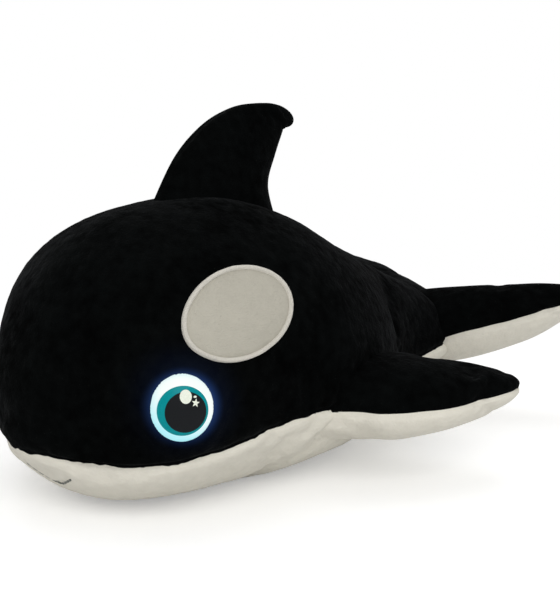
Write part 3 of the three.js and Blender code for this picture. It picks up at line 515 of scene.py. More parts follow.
def refined(grid, rows, columns):
    """A grid of points or movements at other rows and columns, given as fractions, by smooth curves"""
    for axis, wanted in ((0, rows), (1, columns)):
        count = grid.shape[axis]
        place = np.asarray(wanted) * (count - 1)
        index = np.clip(place.astype(int), 0, count - 2)
        t = (place - index).reshape([-1 if k == axis else 1 for k in range(3)])
        four = (np.take(grid, np.clip(index + k, 0, count - 1), axis=axis) for k in (-1, 0, 1, 2))
        grid = spline(*four, t)
    return grid


def normals_of(grid):
    """Unit normals of a grid of points"""
    normal = np.cross(np.gradient(grid, axis=0), np.gradient(grid, axis=1))
    for end, inner in ((0, 1), (-1, -2)):
        if np.ptp(grid[end], axis=0).max() < 1e-5:
            normal[end] = normal[inner].mean(axis=0)
    length = np.linalg.norm(normal, axis=2, keepdims=True)
    return normal / np.maximum(length, 1e-12)


def rough(points, size, seed):
    """Noise at each point, from -1 to 1, with features of a given size"""
    shift = Vector((seed * 7.3, seed * 3.1, seed * 5.7))
    values = [noise.noise(Vector(p) / size + shift) for p in points.reshape(-1, 3)]
    return np.array(values).reshape(points.shape[:-1])


# Materials
class Nodes:
    """A material's node tree, built by short calls"""

    def __init__(self, name):
        self.material = bpy.data.materials.new(name)
        self.material.use_nodes = True
        self.tree = self.material.node_tree
        self.shader = self.tree.nodes["Principled BSDF"]

    def add(self, kind, values=None, **attributes):
        node = self.tree.nodes.new("ShaderNode" + kind)
        for key, value in attributes.items():
            setattr(node, key, value)
        for key, value in (values or {}).items():
            if isinstance(value, bpy.types.NodeSocket):
                self.tree.links.new(value, node.inputs[key])
            else:
                node.inputs[key].default_value = value
        return node

    def link(self, output, socket):
        self.tree.links.new(output, self.shader.inputs[socket])

    def set(self, **values):
        for key, value in values.items():
            self.shader.inputs[key.replace("_", " ")].default_value = value

    def place(self, stretch=(1, 1, 1)):
        """Object coordinates, stretched"""
        where = self.add("TexCoord").outputs["Object"]
        return self.add("Mapping", {"Vector": where, "Scale": stretch}).outputs["Vector"]

    def maths(self, operation, *values):
        """One step of arithmetic"""
        return self.add("Math", dict(enumerate(values)), operation=operation).outputs[0]

    def vectors(self, operation, *values):
        """One step of vector arithmetic, which gives a vector or a value"""
        node = self.add("VectorMath", dict(enumerate(values)), operation=operation)
        return node.outputs["Value" if operation in ("LENGTH", "DOT_PRODUCT") else "Vector"]

    def mirrored_place(self):
        """Object coordinates with the right side laid over the left"""
        where = self.add("SeparateXYZ", {"Vector": self.add("TexCoord").outputs["Object"]})
        side = self.maths("ABSOLUTE", where.outputs["X"])
        values = {"X": side, "Y": where.outputs["Y"], "Z": where.outputs["Z"]}
        return self.add("CombineXYZ", values).outputs["Vector"]

    def from_eye(self, way):
        """How far a place lies from the middle of the eye on its side, at all and in one way"""
        local = self.vectors("SUBTRACT", self.mirrored_place(), eye_frame().to_translation())
        way = eye_frame().to_3x3() @ Vector(way)
        return self.vectors("LENGTH", local), self.vectors("DOT_PRODUCT", local, way)

    def noise(self, size, detail=2.0, vector=None, roughness=0.5):
        """Noise with features of a given size in metres"""
        values = {"Scale": 1 / size, "Detail": detail, "Roughness": roughness,
                  "Vector": vector or self.place()}
        return self.add("TexNoise", values).outputs["Fac"]

    def ramp(self, value, low, high, start=0.0, end=1.0):
        """A value turned into a blend from one colour to another"""
        node = self.add("ValToRGB", {"Fac": value})
        for element, place, colour in zip(node.color_ramp.elements, (start, end), (low, high)):
            element.position = place
            element.color = (*colour, 1)
        return node.outputs["Color"]

    def spread(self, value, low, high, from_low=0.0, from_high=1.0):
        """A value from one range put into another"""
        values = {"Value": value, "From Min": from_low, "From Max": from_high, "To Min": low, "To Max": high}
        return self.add("MapRange", values).outputs["Result"]

    def bump(self, *layers):
        """Bumps of given heights, each a pair of a value and its height in metres"""
        normal = None
        for value, height in layers:
            values = {"Height": value, "Distance": height, "Strength": 1.0}
            if normal:
                values["Normal"] = normal
            normal = self.add("Bump", values).outputs["Normal"]
        self.link(normal, "Normal")


def toned(colour, share):
    return tuple(min(1, v * share) for v in colour)


def plush(name, colour, nap, sheen, sheen_tint=(1, 1, 1), pile=0.0004):
    """Short pile: nap brushed this way and that, fine tufts and a soft sheen"""
    nodes = Nodes(name)
    brushed = nodes.noise(0.035, 3, nodes.place((1, 0.6, 1)))
    mottled = nodes.noise(0.006, 3)
    tufts = nodes.noise(0.0011, 2, nodes.place((1, 0.55, 1)))
    mixed = nodes.maths("ADD", brushed, mottled)
    shade = nodes.spread(mixed, 0, 1, 0.6, 1.4)
    nodes.link(nodes.ramp(shade, toned(colour, 1 - nap), toned(colour, 1 + nap)), "Base Color")
    nodes.link(nodes.spread(mottled, 0.82, 1.0), "Roughness")
    nodes.link(nodes.spread(mixed, 0, sheen * 2, 0.75, 1.25), "Sheen Weight")
    nodes.set(Specular_IOR_Level=0.12, Sheen_Roughness=0.35, Sheen_Tint=(*sheen_tint, 1))
    nodes.bump((brushed, 0.0022), (mottled, 0.0008), (tufts, pile))
    return nodes


def lit_plush(name, colour, eye):
    """The black plush, with the blue light of the eyes on the pile around them"""
    nodes = plush(name, colour, 0.75, 0.03, (0.5, 0.52, 0.55))
    distance, height = nodes.from_eye((0.6, 0.8, 0))
    lean = nodes.spread(height, 0.25, 1, -EYE_RADIUS, EYE_RADIUS)
    glows = []
    for reach, power, strength in ((0.005, 2.0, eye.spill), (0.024, 2.5, eye.spill * 0.12)):
        near = nodes.spread(distance, 1, 0, EYE_LIP - 0.0005, EYE_LIP + reach)
        glows.append(nodes.maths("MULTIPLY", nodes.maths("POWER", near, power), strength))
    nodes.link(nodes.maths("MULTIPLY", nodes.maths("ADD", *glows), lean), "Emission Strength")
    nodes.set(Emission_Color=(*eye.halo, 1), Specular_IOR_Level=0.01)
    return nodes


def thread_material(name, colour):
    nodes = Nodes(name)
    fibre = nodes.noise(0.0005, 3)
    nodes.link(nodes.ramp(fibre, toned(colour, 0.8), toned(colour, 1.1), 0.25, 0.75), "Base Color")
    nodes.set(Roughness=0.55, Sheen_Weight=0.2, Specular_IOR_Level=0.35)
    nodes.bump((fibre, 0.0001))
    return nodes.material


def woven(name, colour, pitch):
    """A plain weave"""
    nodes = Nodes(name)
    threads = {"Vector": nodes.place(), "Scale": 1 / pitch, "Distortion": 0.6}
    warp, weft = (nodes.add("TexWave", threads, bands_direction=way).outputs["Fac"] for way in "XY")
    weave = nodes.maths("MULTIPLY", warp, weft)
    nodes.link(nodes.ramp(weave, toned(colour, 0.78), toned(colour, 1.05)), "Base Color")
    nodes.set(Roughness=0.8, Sheen_Weight=0.15, Specular_IOR_Level=0.25)
    nodes.bump((weave, 0.0002))
    return nodes.material


def moulded(name, colour, roughness, metallic):
    """Moulded plastic, or pressed metal, with a fine grain and slight wear"""
    nodes = Nodes(name)
    grain = nodes.noise(0.0007, 3)
    cloudy = nodes.noise(0.02, 2)
    nodes.link(nodes.ramp(cloudy, toned(colour, 0.93), toned(colour, 1.04), 0.3, 0.7), "Base Color")
    nodes.link(nodes.spread(grain, roughness - 0.06, roughness + 0.08), "Roughness")
    nodes.set(Metallic=metallic)
    nodes.bump((grain, 0.00005))
    return nodes.material


def lit_dome(name, eye):
    """Milky plastic lit from inside, white with cooler edges below and towards the nose"""
    nodes = Nodes(name)
    distance, height = nodes.from_eye((0.5, 0.87, 0))
    lean = nodes.spread(height, 0, 1, -EYE_RADIUS, EYE_RADIUS * 0.35)
    rim = nodes.spread(distance, 1, 0, EYE_RADIUS * 0.8, EYE_RADIUS)
    tone = nodes.maths("MULTIPLY", lean, nodes.spread(rim, 0.55, 1))
    nodes.link(nodes.ramp(tone, tuple(eye.tint), tuple(eye.sclera), 0.15, 0.85), "Emission Color")
    nodes.link(nodes.ramp(tone, toned(eye.tint, 0.16), toned(eye.sclera, 0.16)), "Base Color")
    nodes.set(Roughness=0.3, Emission_Strength=eye.glow, Specular_IOR_Level=0.3)
    nodes.bump((nodes.noise(0.004, 2), 0.00003))
    return nodes.material


def printed(name, colour, lit, roughness=0.3, gloss=0.25):
    """Ink on the lit dome, which lets a little light through"""
    nodes = Nodes(name)
    speckle = nodes.noise(0.0008, 2)
    tone = nodes.ramp(speckle, toned(colour, 0.94), toned(colour, 1.05), 0.3, 0.7)
    nodes.link(tone, "Base Color")
    nodes.link(tone, "Emission Color")
    nodes.set(Roughness=roughness, Emission_Strength=lit, Specular_IOR_Level=gloss)
    nodes.bump((speckle, 0.00001))
    return nodes.material


def make_look(slot, name):
    """A slot's material. Each kind is made only when it is wanted"""
    sewing, eye = bpy.context.scene.orca_plush, bpy.context.scene.orca_eye
    if slot in MOULDED:
        colour, roughness, metallic = MOULDED[slot]
        return moulded(name, srgb(*colour), roughness, metallic)
    return {
        "black_plush": lambda: lit_plush(name, sewing.black, eye).material,
        "white_plush": lambda: plush(name, sewing.white, 0.05, 0.08).material,
        "grey_plush": lambda: plush(name, sewing.grey, 0.05, 0.08, pile=0.0005).material,
        "stuffing": lambda: plush(name, srgb(242, 240, 234), 0.05, 0.1, pile=0.001).material,
        "pale_thread": lambda: thread_material(name, sewing.thread),
        "dark_thread": lambda: thread_material(name, sewing.mouth),
        "closing_tape": lambda: woven(name, srgb(223, 221, 214), 0.0012),
        "pouch_cloth": lambda: woven(name, srgb(214, 212, 204), 0.0006),
        "milky_plastic": lambda: lit_dome(name, eye),
        "teal_print": lambda: printed(name, eye.iris, 0.14, gloss=0.08),
        "black_print": lambda: printed(name, eye.pupil, 0.0, 0.55, 0.06),
        "pale_print": lambda: printed(name, eye.glint, 0.02),
    }[slot]()


def look(slot):
    """The material of one of the record's slots, made when it is first asked for"""
    name = slot + "_look"
    return bpy.data.materials.get(name) or make_look(slot, name)


# Which body each piece goes with, and which of the frame's parts it hides
def declare(piece, body, node=None):
    """Hides the part that a piece replaces and attaches the piece to the body that it goes with"""
    if node:
        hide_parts(node)
    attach(piece, body)


def sewn(piece, node, slot, *bodies, ends=None, fill=0.7):
    """The same for a stuffed piece, except that one given ends is baked in place and goes with no body"""
    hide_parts(node)
    if ends:
        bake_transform(piece)
    else:
        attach(piece, bodies[0])


def paired(piece, node):
    """A piece of the left side with its twin on the right"""
    twin = mirrored(piece, piece.name.replace("left", "right"))
    declare(piece, "body", "left_" + node)
    declare(twin, "body", "right_" + node)


# Places on surfaces
def surface_of(piece):
    """The surface of a piece, or of one of the frame's parts, to lay things on"""
    return BVHTree.FromPolygons([piece.matrix_world @ v.co for v in piece.data.vertices],
                                [tuple(p.vertices) for p in piece.data.polygons])


def met(tree, start, way, reach):
    """Where a ray meets a surface, and the surface's normal on the side that it comes from"""
    hit, normal, _, _ = tree.ray_cast(start, way, reach)
    if hit is None:
        raise RuntimeError("nothing lies under the trim")
    return hit, -normal if normal.dot(way) > 0 else normal


def laid_on(tree, matrix, x, y, lift):
    """A point of a frame's plane, put on the surface under it and lifted off it"""
    hit, normal = met(tree, matrix @ Vector((x, y, 0.03)), -matrix.to_3x3().col[2], 0.08)
    return hit + normal * lift


def height_on(tree, x, y, from_below):
    """How high a surface lies at a place, met from below or from above"""
    start = Vector((x, y, -0.1 if from_below else 0.2))
    return met(tree, start, UP if from_below else -UP, 0.3)[0].z


# Stitches
class Threads:
    """Closed strands of thread, gathered for one piece"""

    def __init__(self):
        self.points, self.faces = [], []

    def add(self, rings):
        """A strand given as rings of points"""
        self.faces += tube_faces(len(rings), len(rings[0]), len(self.points))
        self.points += [point for ring in rings for point in ring]

    def strand(self, path, radius, across):
        """A round strand along a path that lies square to a given way"""
        path, sides = [Vector(p) for p in path], 5
        rings = []
        for k, place in enumerate(path):
            way = (path[min(k + 1, len(path) - 1)] - path[max(k - 1, 0)]).normalized()
            side = (across - way * across.dot(way)).normalized()
            other = way.cross(side)
            rings.append([place + (side * math.cos(angle) + other * math.sin(angle)) * radius
                          for angle in turns(sides)])
        self.add(rings)

    def running_stitches(self, corners, length, gap, surface, out):
        """Running stitches round a line of (x, y) corners, on a surface whose outside is up or down"""
        radius, arch = 0.00022, 0.0002
        for a, b in zip(corners, [*corners[1:], corners[0]]):
            a, b = Vector(a), Vector(b)
            way = (b - a).normalized()
            count = int((b - a).length / (length + gap))
            for k in range(count):
                middle = a + (b - a) * (k + 0.5) / count
                path = []
                for share in (-1, -0.6, 0, 0.6, 1):
                    x, y = middle + way * share * length / 2
                    path.append((x, y, surface(x, y) + out * (arch - 2 * arch * share ** 2)))
                self.strand(path, radius, Vector((-way.y, way.x, 0)))

    def piece(self, name, slot):
        return new_piece(name, self.points, self.faces, look(slot), 80)


# The body
def body_grid(columns_up, columns_down, rows, edge_share, inset=0.0):
    """The upper and the lower skin as grids of points from the left seam to the right one, row by row
    from the front of the nose, where both start at one point of the seam"""
    y, _, top, bottom, widest, seam = STATIONS.T
    before_end = y <= BODY_END
    chin = np.argmax(bottom < seam)
    crossing = [bottom[chin] - seam[chin], bottom[chin - 1] - seam[chin - 1]]
    front_y = np.interp(0, crossing, [y[chin], y[chin - 1]])
    front = np.array([[front_y, np.interp(front_y, y, seam)]])
    under = np.column_stack([y, bottom])
    behind_chin = (y > front_y) & before_end
    over = np.vstack([front, under[:chin][::-1], np.column_stack([y, top])[1:][before_end[1:]]])
    low = np.vstack([front, under[behind_chin]])
    side_line = np.vstack([front, np.column_stack([y, seam])[behind_chin]])
    side_steps, arc_steps = 900, 120
    dense = front_y + (side_line[-1, 0] - front_y) * np.linspace(0, 1, side_steps) ** 2
    side_line = np.column_stack([dense, np.interp(dense, y, seam)])
    side = resampled(np.column_stack([half_width(*side_line.T), side_line]), rows)
    arc = np.sin(np.linspace(0, math.pi / 2, arc_steps))
    grids = []
    for curve, columns in ((over, columns_up), (low, columns_down)):
        ridge = resampled(curve, rows)
        grid = np.empty((len(rows), 2 * columns + 1, 3))
        for i in range(len(rows)):
            yz = side[i, 1:] + np.outer(arc, ridge[i] - side[i, 1:])
            half = np.column_stack([half_width(*yz.T), yz])
            half[-1, 0] = 0
            half = resampled(half, gathered(2 * columns + 1, edge_share)[:columns + 1] * 2)
            grid[i, :columns + 1] = half
            grid[i, columns:] = half[::-1] * (-1, 1, 1)
        grids.append(grid)
    full_inset = 0.025
    return [grid - outward(grid) * (inset * eased(seam_reach(grid), full_inset))[..., None]
            for grid in grids]


def seam_reach(grid):
    """How far each point lies from the nearer seam, along its row"""
    along = np.cumsum(np.linalg.norm(np.diff(grid, axis=1, prepend=grid[:, :1]), axis=2), axis=1)
    return np.minimum(along, along[:, -1:] - along)


def eased(value, full):
    """0 at 0 and 1 from full on, with a smooth rise between"""
    share = np.clip(value / full, 0, 1)
    return share * share * (3 - 2 * share)


def outward(grid):
    """Unit normals that point away from the grid's middle line"""
    normal = normals_of(grid)
    middle = (grid[:, :1] + grid[:, -1:]) / 2
    centre = np.median(np.sum(normal[2:-2] * (grid[2:-2] - middle[2:-2]), axis=2))
    return normal if centre > 0 else -normal


def shared_normals(upper, lower):
    """Outward normals of both skins, the same where they are sewn together"""
    normals = [outward(upper), outward(lower)]
    edge = normals[0][:, (0, -1)] + normals[1][:, (0, -1)]
    edge[0] = edge[0].mean(axis=0)
    edge /= np.linalg.norm(edge, axis=2, keepdims=True)
    for normal in normals:
        normal[:, (0, -1)] = edge
        normal[0] = edge[0, 0]
    return normals


def drawn_in(distance, along):
    """How deep the plush draws in near a seam, with small gathers along it"""
    sewing = bpy.context.scene.orca_plush
    short, long, start, strength = 0.0042, 0.0131, 1.3, 0.35
    gather = 1 + strength * np.sin(along / short) * np.sin(along / long + start)
    return sewing.seam_depth * gather * np.exp(-(distance / sewing.seam_width) ** 2)


def rolled_end(grid):
    """Rolls the sewn end of the tail stock in, in a wider curve on its top"""
    centre = np.array([0, 0, np.interp(BODY_END, STATIONS[:, 0], STATIONS[:, 4])])
    arm = grid - centre
    arm[..., 1] = 0
    reach = np.maximum(np.linalg.norm(arm, axis=-1), 1e-6)
    wider_on_top = 2.4
    curve = END_ROLL * (1 + wider_on_top * np.clip(arm[..., 2] / reach, 0, 1) ** 2)
    share = np.clip((grid[..., 1] - BODY_END + curve) / curve, 0, 1)
    most = reach * 0.9
    shrink = np.minimum(curve * (1 - np.sqrt(1 - share ** 2)), most)
    return grid - arm * (shrink / reach)[..., None]


def build_body():
    """The upper and lower skins of the stuffed body, as fine grids"""
    sewing = bpy.context.scene.orca_plush
    slack = sewing.slack
    coarse_rows, coarse_halves = 64, (22, 18)
    upper, lower = body_grid(*coarse_halves, np.linspace(0, 1, coarse_rows), 0, slack)
    count, across = upper.shape[:2]
    low_across = lower.shape[1]
    points = np.vstack([upper.reshape(-1, 3), lower[:, 1:-1].reshape(-1, 3)])
    start = count * across

    def low_index(i, j):
        """The number of a point of the lower skin, which shares the upper one's at its sides"""
        if j in (0, low_across - 1):
            return i * across + (across - 1 if j else 0)
        return start + i * (low_across - 2) + j - 1

    faces = grid_faces(count, across)
    faces += [(low_index(i, j), low_index(i + 1, j), low_index(i + 1, j + 1), low_index(i, j + 1))
              for i in range(count - 1) for j in range(low_across - 1)]
    last = [(count - 1) * across + j for j in range(across)]
    last += [low_index(count - 1, j) for j in range(low_across - 2, 0, -1)]
    faces.append(tuple(reversed(last)))
    held = {low_index(i, j) for i in range(count) for j in (0, low_across - 1)}
    held.update(last, range(across), (low_index(0, j) for j in range(low_across)))
    stretch, nose_reach, end_reach, end_start = 0.012, 0.045, 0.1, BODY_END - 0.03
    move = swelled(points, faces, held, sewing.swell, stretch)
    moves = [move[:start].reshape(count, across, 3),
             np.array([[move[low_index(i, j)] for j in range(low_across)] for i in range(count)])]
    fine_rows, edge_share, halves = np.linspace(0, 1, 240), 0.75, (54, 42)
    skins = []
    for grid, step, half in zip(body_grid(*halves, fine_rows, edge_share, slack), moves, halves):
        columns = gathered(2 * half + 1, edge_share)[:half + 1]
        step = refined(step, fine_rows, np.concatenate([columns, 1 - columns[:-1][::-1]]))
        from_nose = np.linalg.norm(grid - grid[0, 0], axis=2)
        share = eased(from_nose, nose_reach) * eased(end_start - grid[..., 1], end_reach)
        skins.append(grid + step * share[..., None])
    return skins


def shell(name, grid, normal, material, lumps, fringe=None):
    """A skin of plush over a grid of points, with the seam along its two sides drawn in.
    A fringe gives the ways in which the pile reaches over the seam, left and right"""
    reach = seam_reach(grid)
    at_nose, nose_reach = 0.3, 0.03
    depth = drawn_in(reach, grid[..., 1])
    depth = depth * (at_nose + (1 - at_nose) * eased(np.linalg.norm(grid - grid[0, 0], axis=2), nose_reach))
    dents = (rough(grid, 0.045, 1) + rough(grid, 0.016, 2) * 0.25) * lumps
    nap = rough(grid, 0.0045, 7) * 0.00022
    height = dents * eased(reach, 0.01) - depth + nap * eased(reach, 0.004)
    grid = grid + normal * height[..., None]
    if fringe is not None:
        edge = grid[:, (0, -1)]
        pile_reach, pile_lift = 0.0008, 0.0004
        tuft = pile_reach + 0.001 * rough(edge, 0.0032, 5) + 0.0005 * rough(edge, 0.009, 6)
        pile = edge + fringe * tuft[..., None] + normal[:, (0, -1)] * pile_lift
        grid = np.concatenate([pile[:, :1], grid, pile[:, 1:]], axis=1)
        grid[0] = grid[0, 1]
    grid = rolled_end(grid)
    grid[..., 2] = np.maximum(grid[..., 2], 0)
    piece = new_piece(name, grid.reshape(-1, 3), grid_faces(*grid.shape[:2]), material)
    middle = Vector(grid[len(grid) // 2, grid.shape[1] // 2])
    nearest = min(piece.data.vertices, key=lambda v: (v.co - middle).length_squared)
    if nearest.normal.dot(Vector(normal[len(grid) // 2, normal.shape[1] // 2])) < 0:
        piece.data.flip_normals()
    return piece


def backed(piece):
    """Gives a skin the plush's thickness, less towards its edges"""
    work = bmesh.new()
    work.from_mesh(piece.data)
    edge = [v.co.copy() for v in work.verts if v.is_boundary]
    work.free()
    tree = KDTree(len(edge))
    for k, place in enumerate(edge):
        tree.insert(place, k)
    tree.balance()
    least, full_reach = 0.001, 0.01
    group = piece.vertex_groups.new(name="backing")
    for v in piece.data.vertices:
        group.add([v.index], float(eased(tree.find(v.co)[2] + least, full_reach)), "REPLACE")
    thickened(piece, PLUSH, group)
    piece.vertex_groups.clear()
    finish_mesh(piece)


def rimmed(piece):
    """Lets the plush stand up round each eye, so that it covers the dome's rim, and dip under the dome"""
    crest = RUFF_RISE + max(0, dome_height(EYE_LIP))
    full, just_out, margin = RUFF_REACH - EYE_LIP - 0.0012, EYE_LIP + 0.00002, 0.003
    edge_share, edge_width, under_dome, dip_slope = 0.55, 0.0008, 0.0004, 2.2
    for side in (1, -1):
        matrix = eye_frame(side)
        back_in = matrix.inverted()
        with editing(piece) as work:
            finer(work, {v for v in work.verts
                         if (back_in @ v.co).length < RUFF_REACH + margin and v.co.x * side > 0})
            for v in work.verts:
                spot = back_in @ v.co
                r = math.hypot(spot.x / LIP_OVAL, spot.y)
                if v.co.x * side <= 0 or r > RUFF_REACH or abs(spot.z) > RUFF_DEPTH:
                    continue
                if abs(r - EYE_LIP) < LIP_BAND:
                    spot.x *= just_out / r
                    spot.y *= just_out / r
                    r = just_out
                if r > EYE_LIP:
                    edge = min(1, (r - EYE_LIP) / edge_width + edge_share)
                    rise = float(eased(RUFF_REACH - r, full)) * edge
                    spot.z += (max(crest, spot.z) - spot.z) * rise
                else:
                    spot.z = max(-EYE_SEAT, dome_height(r) - under_dome - (EYE_LIP - r) * dip_slope)
                v.co = matrix @ spot


def smile():
    """The line of the mouth, as points of (x, z)"""
    across = np.linspace(-MOUTH_HALF, MOUTH_HALF, 201)
    return np.column_stack([across, MOUTH_HEIGHT + np.hypot(MOUTH_BOW, MOUTH_SLOPE * across)])


def folded_in(belly):
    """Draws the chin in along the stitched mouth, less towards its corners"""
    line = smile()
    most_loss, start, full = 0.4, 0.007, 0.006

    def on_chin(place):
        return place.y < CHIN_BACK and place.z < CHIN_TOP and abs(place.x) < CHIN_HALF

    with editing(belly) as work:
        finer(work, {v for v in work.verts if on_chin(v.co)})
        work.normal_update()
        moves = []
        for v in work.verts:
            if on_chin(v.co) and not v.is_boundary:
                away = np.hypot(line[:, 0] - v.co.x, line[:, 1] - v.co.z).min()
                depth = FOLD_DEPTH * (1 - most_loss * float(eased(abs(v.co.x) - start, full)))
                moves.append((v, v.normal * depth * math.exp(-(away / FOLD_WIDTH) ** 2)))
        for v, move in moves:
            v.co -= move


def stuffed_core(upper, lower, normals):
    """The stuffing: the body's inside, with room for the pouch and for the eyes' stems"""
    depth = PLUSH + 0.0007
    grids = [rolled_end(grid - normal * depth) for grid, normal in zip((upper, lower), normals)]
    points = np.vstack([grid.reshape(-1, 3) for grid in grids])
    rows, across = upper.shape[:2]
    low_across, start = lower.shape[1], rows * across
    faces = grid_faces(rows, across) + grid_faces(rows, low_across, start)
    faces.append((*range(start - across, start),
                  *(start + (rows - 1) * low_across + j for j in range(low_across - 2, 0, -1))))
    core = new_piece("polyester_stuffing", points, faces, look("stuffing"))
    low, high = (Vector(corner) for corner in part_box("battery_pouch"))
    room = Vector((STUFFING_ROOM, STUFFING_ROOM, STUFFING_ROOM))
    boolean(core, block("room", low - room, high + room), "DIFFERENCE")
    # the room for an eye: round its stem and its washer, by radius and by depth
    stem, washer, end, shoulder, outside = 0.0055, 0.0115, -0.021, -0.0095, 0.01
    profile = [(0, end), (stem, end), (stem, shoulder), (washer, shoulder), (washer, outside), (0, outside)]
    for side in (1, -1):
        boolean(core, lathe("well", profile, eye_frame(side), None, 32), "DIFFERENCE")
    finish_mesh(core)
    return core


class ORCA_OT_body(bpy.types.Operator):
    """Sew and stuff the body: the black back and the white belly with its flap"""
    bl_idname = "orca.body"
    bl_label = "Body"

    def execute(self, context):
        upper, lower = build_body()
        normals = shared_normals(upper, lower)
        way = lower[:, (1, -2)] - lower[:, (0, -1)]
        way /= np.maximum(np.linalg.norm(way, axis=2, keepdims=True), 1e-6)
        back = shell("back_plush", upper, normals[0], look("black_plush"), lumps=0.0012, fringe=way)
        belly = shell("belly_plush", lower, normals[1], look("white_plush"), lumps=0.001)
        rimmed(back)
        folded_in(belly)
        for skin in (back, belly):
            backed(skin)
        core = stuffed_core(upper, lower, normals)
        flap = cut_flap(belly)
        sewn(core, "body_stuffing", "stuffing", "body", fill=0.8)
        sewn(back, "back_skin", "black_plush", "body", fill=0.8)
        sewn(belly, "belly_skin", "white_plush", "body", fill=0.8)
        sewn(flap, "belly_flap", "white_plush", "flap", fill=0.3)
        return {"FINISHED"}


def cut_flap(belly):
    """Cuts the opening in the belly and gives the flap that closes it"""
    flap = belly.copy()
    flap.data = belly.data.copy()
    flap.name = "flap_plush"
    bpy.context.collection.objects.link(flap)
    low, high = -0.02, 0.03
    opening = block("opening", (-FLAP_HALF, FLAP_FRONT, low), (FLAP_HALF, FLAP_BACK + FLAP_GAP, high))
    boolean(belly, opening, "DIFFERENCE")
    panel = block("panel", (FLAP_EASE - FLAP_HALF, FLAP_FRONT + FLAP_EASE, low),
                  (FLAP_HALF - FLAP_EASE, FLAP_BACK, high))
    boolean(flap, panel, "INTERSECT")
    for piece in (belly, flap):
        finish_mesh(piece)
    return flap


# Limbs
def rounded_off(rows, tip, first, steps):
    """Rows whose last one shrinks round towards a tip. A row holds a centre and then sizes"""
    rows, tip = list(rows), np.array(tip)
    last = rows[-1]
    centres = len(tip)
    for angle in np.linspace(first, math.pi / 2, steps + 1)[1:]:
        row = last.copy()
        row[:centres] += (tip - last[:centres]) * (math.sin(angle) - math.sin(first)) / (1 - math.sin(first))
        row[centres:] *= math.cos(angle) / math.cos(first)
        rows.append(row)
    return np.array(rows)


def limb_rings(shares, matrix, dip_at, steps, around, slack):
    """Rings of points along a limb, each from its rear seam over the top to the front seam and back
    underneath. The front seam dips below the edge by the angle that dip_at gives along the way"""
    rows = np.array([[out, (front + rear) / 2, rise, (rear - front) / 2, thick / 2]
                     for out, front, rear, thick, rise in shares])
    tip_angle = 0.55
    rows = rounded_off(smooth(rows[:-1], steps, after=rows[-1]), rows[-1][:3], tip_angle, steps)
    share = np.arange(around) / around
    rings = []
    for out, middle, rise, flat, high in rows:
        dip = dip_at(out)
        angles = np.where(share <= 0.5, share * 2 * (math.pi + dip),
                          math.pi + dip + (share * 2 - 1) * (math.pi - dip))
        high = slackened(high, slack)
        rings.append(np.column_stack([np.full(around, out), middle + flat * np.cos(angles),
                                      rise + high * np.sin(angles)]))
    rings = np.array(rings)
    turned = rings.reshape(-1, 3) @ np.array(matrix.to_3x3()).T + np.array(matrix.to_translation())
    return turned.reshape(rings.shape)


def slackened(half, slack):
    """Half a thickness before it is stuffed, with less slack where it is thin"""
    thin = 0.006
    return half - slack * min(1, half / thin)


def stuffed(make_rings, steps, fine_steps):
    """A form's skin as fine rings: coarse rings are stuffed, and the fine ones follow them"""
    sewing = bpy.context.scene.orca_plush
    around, fine_around = 28, 96
    slack_share, swell_share, stretch = 0.5, 0.6, 0.004
    slack = sewing.slack * slack_share
    rings = make_rings(steps, around, slack)
    count = len(rings)
    faces = grid_faces(count, around, closed=True)
    faces.append(tuple(range(around))[::-1])
    held = {i * around + j for i in range(count) for j in (0, around // 2)}
    held.update(range(around), range((count - 1) * around, count * around))
    move = swelled(rings.reshape(-1, 3), faces, held, sewing.swell * swell_share, stretch)
    move = move.reshape(rings.shape)
    move = np.concatenate([move, move[:, :1]], axis=1)
    fine = make_rings(fine_steps, fine_around, slack)
    return fine + refined(move, np.linspace(0, 1, len(fine)), np.arange(fine_around) / fine_around)


def seam_distance(grid, *seams):
    """How far each point of a ring lies from the nearer of its seams"""
    return np.minimum(*(np.linalg.norm(grid - seam, axis=2) for seam in seams))


def limb_halves(names, rings, materials):
    """A limb's upper and lower halves as closed pieces that meet at the seam along its edges"""
    around = rings.shape[1]
    half = around // 2
    wrapped = np.concatenate([rings, rings[:, :1]], axis=1)
    centre = rings.mean(axis=1, keepdims=True)
    inner = np.linspace(0, 1, 6)[1:-1, None]
    seam_share, dents = 0.8, 0.0007
    halves = []
    for name, material, columns in zip(names, materials, (slice(0, half + 1), slice(half, around + 1))):
        grid = wrapped[:, columns].copy()
        normal = normals_of(grid)
        side = np.sign(np.median(np.sum(normal * (grid - centre), axis=2)))
        normal *= side or 1
        along = np.cumsum(np.linalg.norm(np.diff(grid, axis=0, prepend=grid[:1]), axis=2), axis=0)
        depth = drawn_in(seam_distance(grid, grid[:, :1], grid[:, -1:]), along) * seam_share
        height = rough(grid, 0.03, 3) * dents - depth
        grid = grid + normal * height[..., None]
        closing = grid[:, -1:] + (grid[:, :1] - grid[:, -1:]) * inner
        grid = np.concatenate([grid, closing], axis=1)
        rows, count = grid.shape[:2]
        faces = grid_faces(rows, count, closed=True)
        faces.append(tuple(range(count)))
        if np.ptp(grid[-1], axis=0).max() > 1e-6:
            faces.append(tuple(range((rows - 1) * count, rows * count)))
        halves.append(new_piece(name, grid.reshape(-1, 3), faces, material))
    return halves


def limb_pair(kind, rings, bodies, ends):
    """A left limb and its twin, each a black top and a white underside.
    Bodies and ends are given for the left and the right"""
    parts, slots = ("top", "underside"), ("black_plush", "white_plush")
    names = [f"left_{kind}_{part}_plush" for part in parts]
    for piece, part, slot in zip(limb_halves(names, rings, [look(slot) for slot in slots]), parts, slots):
        twin = mirrored(piece, f"right_{kind}_{part}_plush")
        for one, side, body, span in zip((piece, twin), ("left", "right"), bodies, ends):
            sewn(one, f"{side}_{kind}_{part}", slot, "body", body, ends=span)


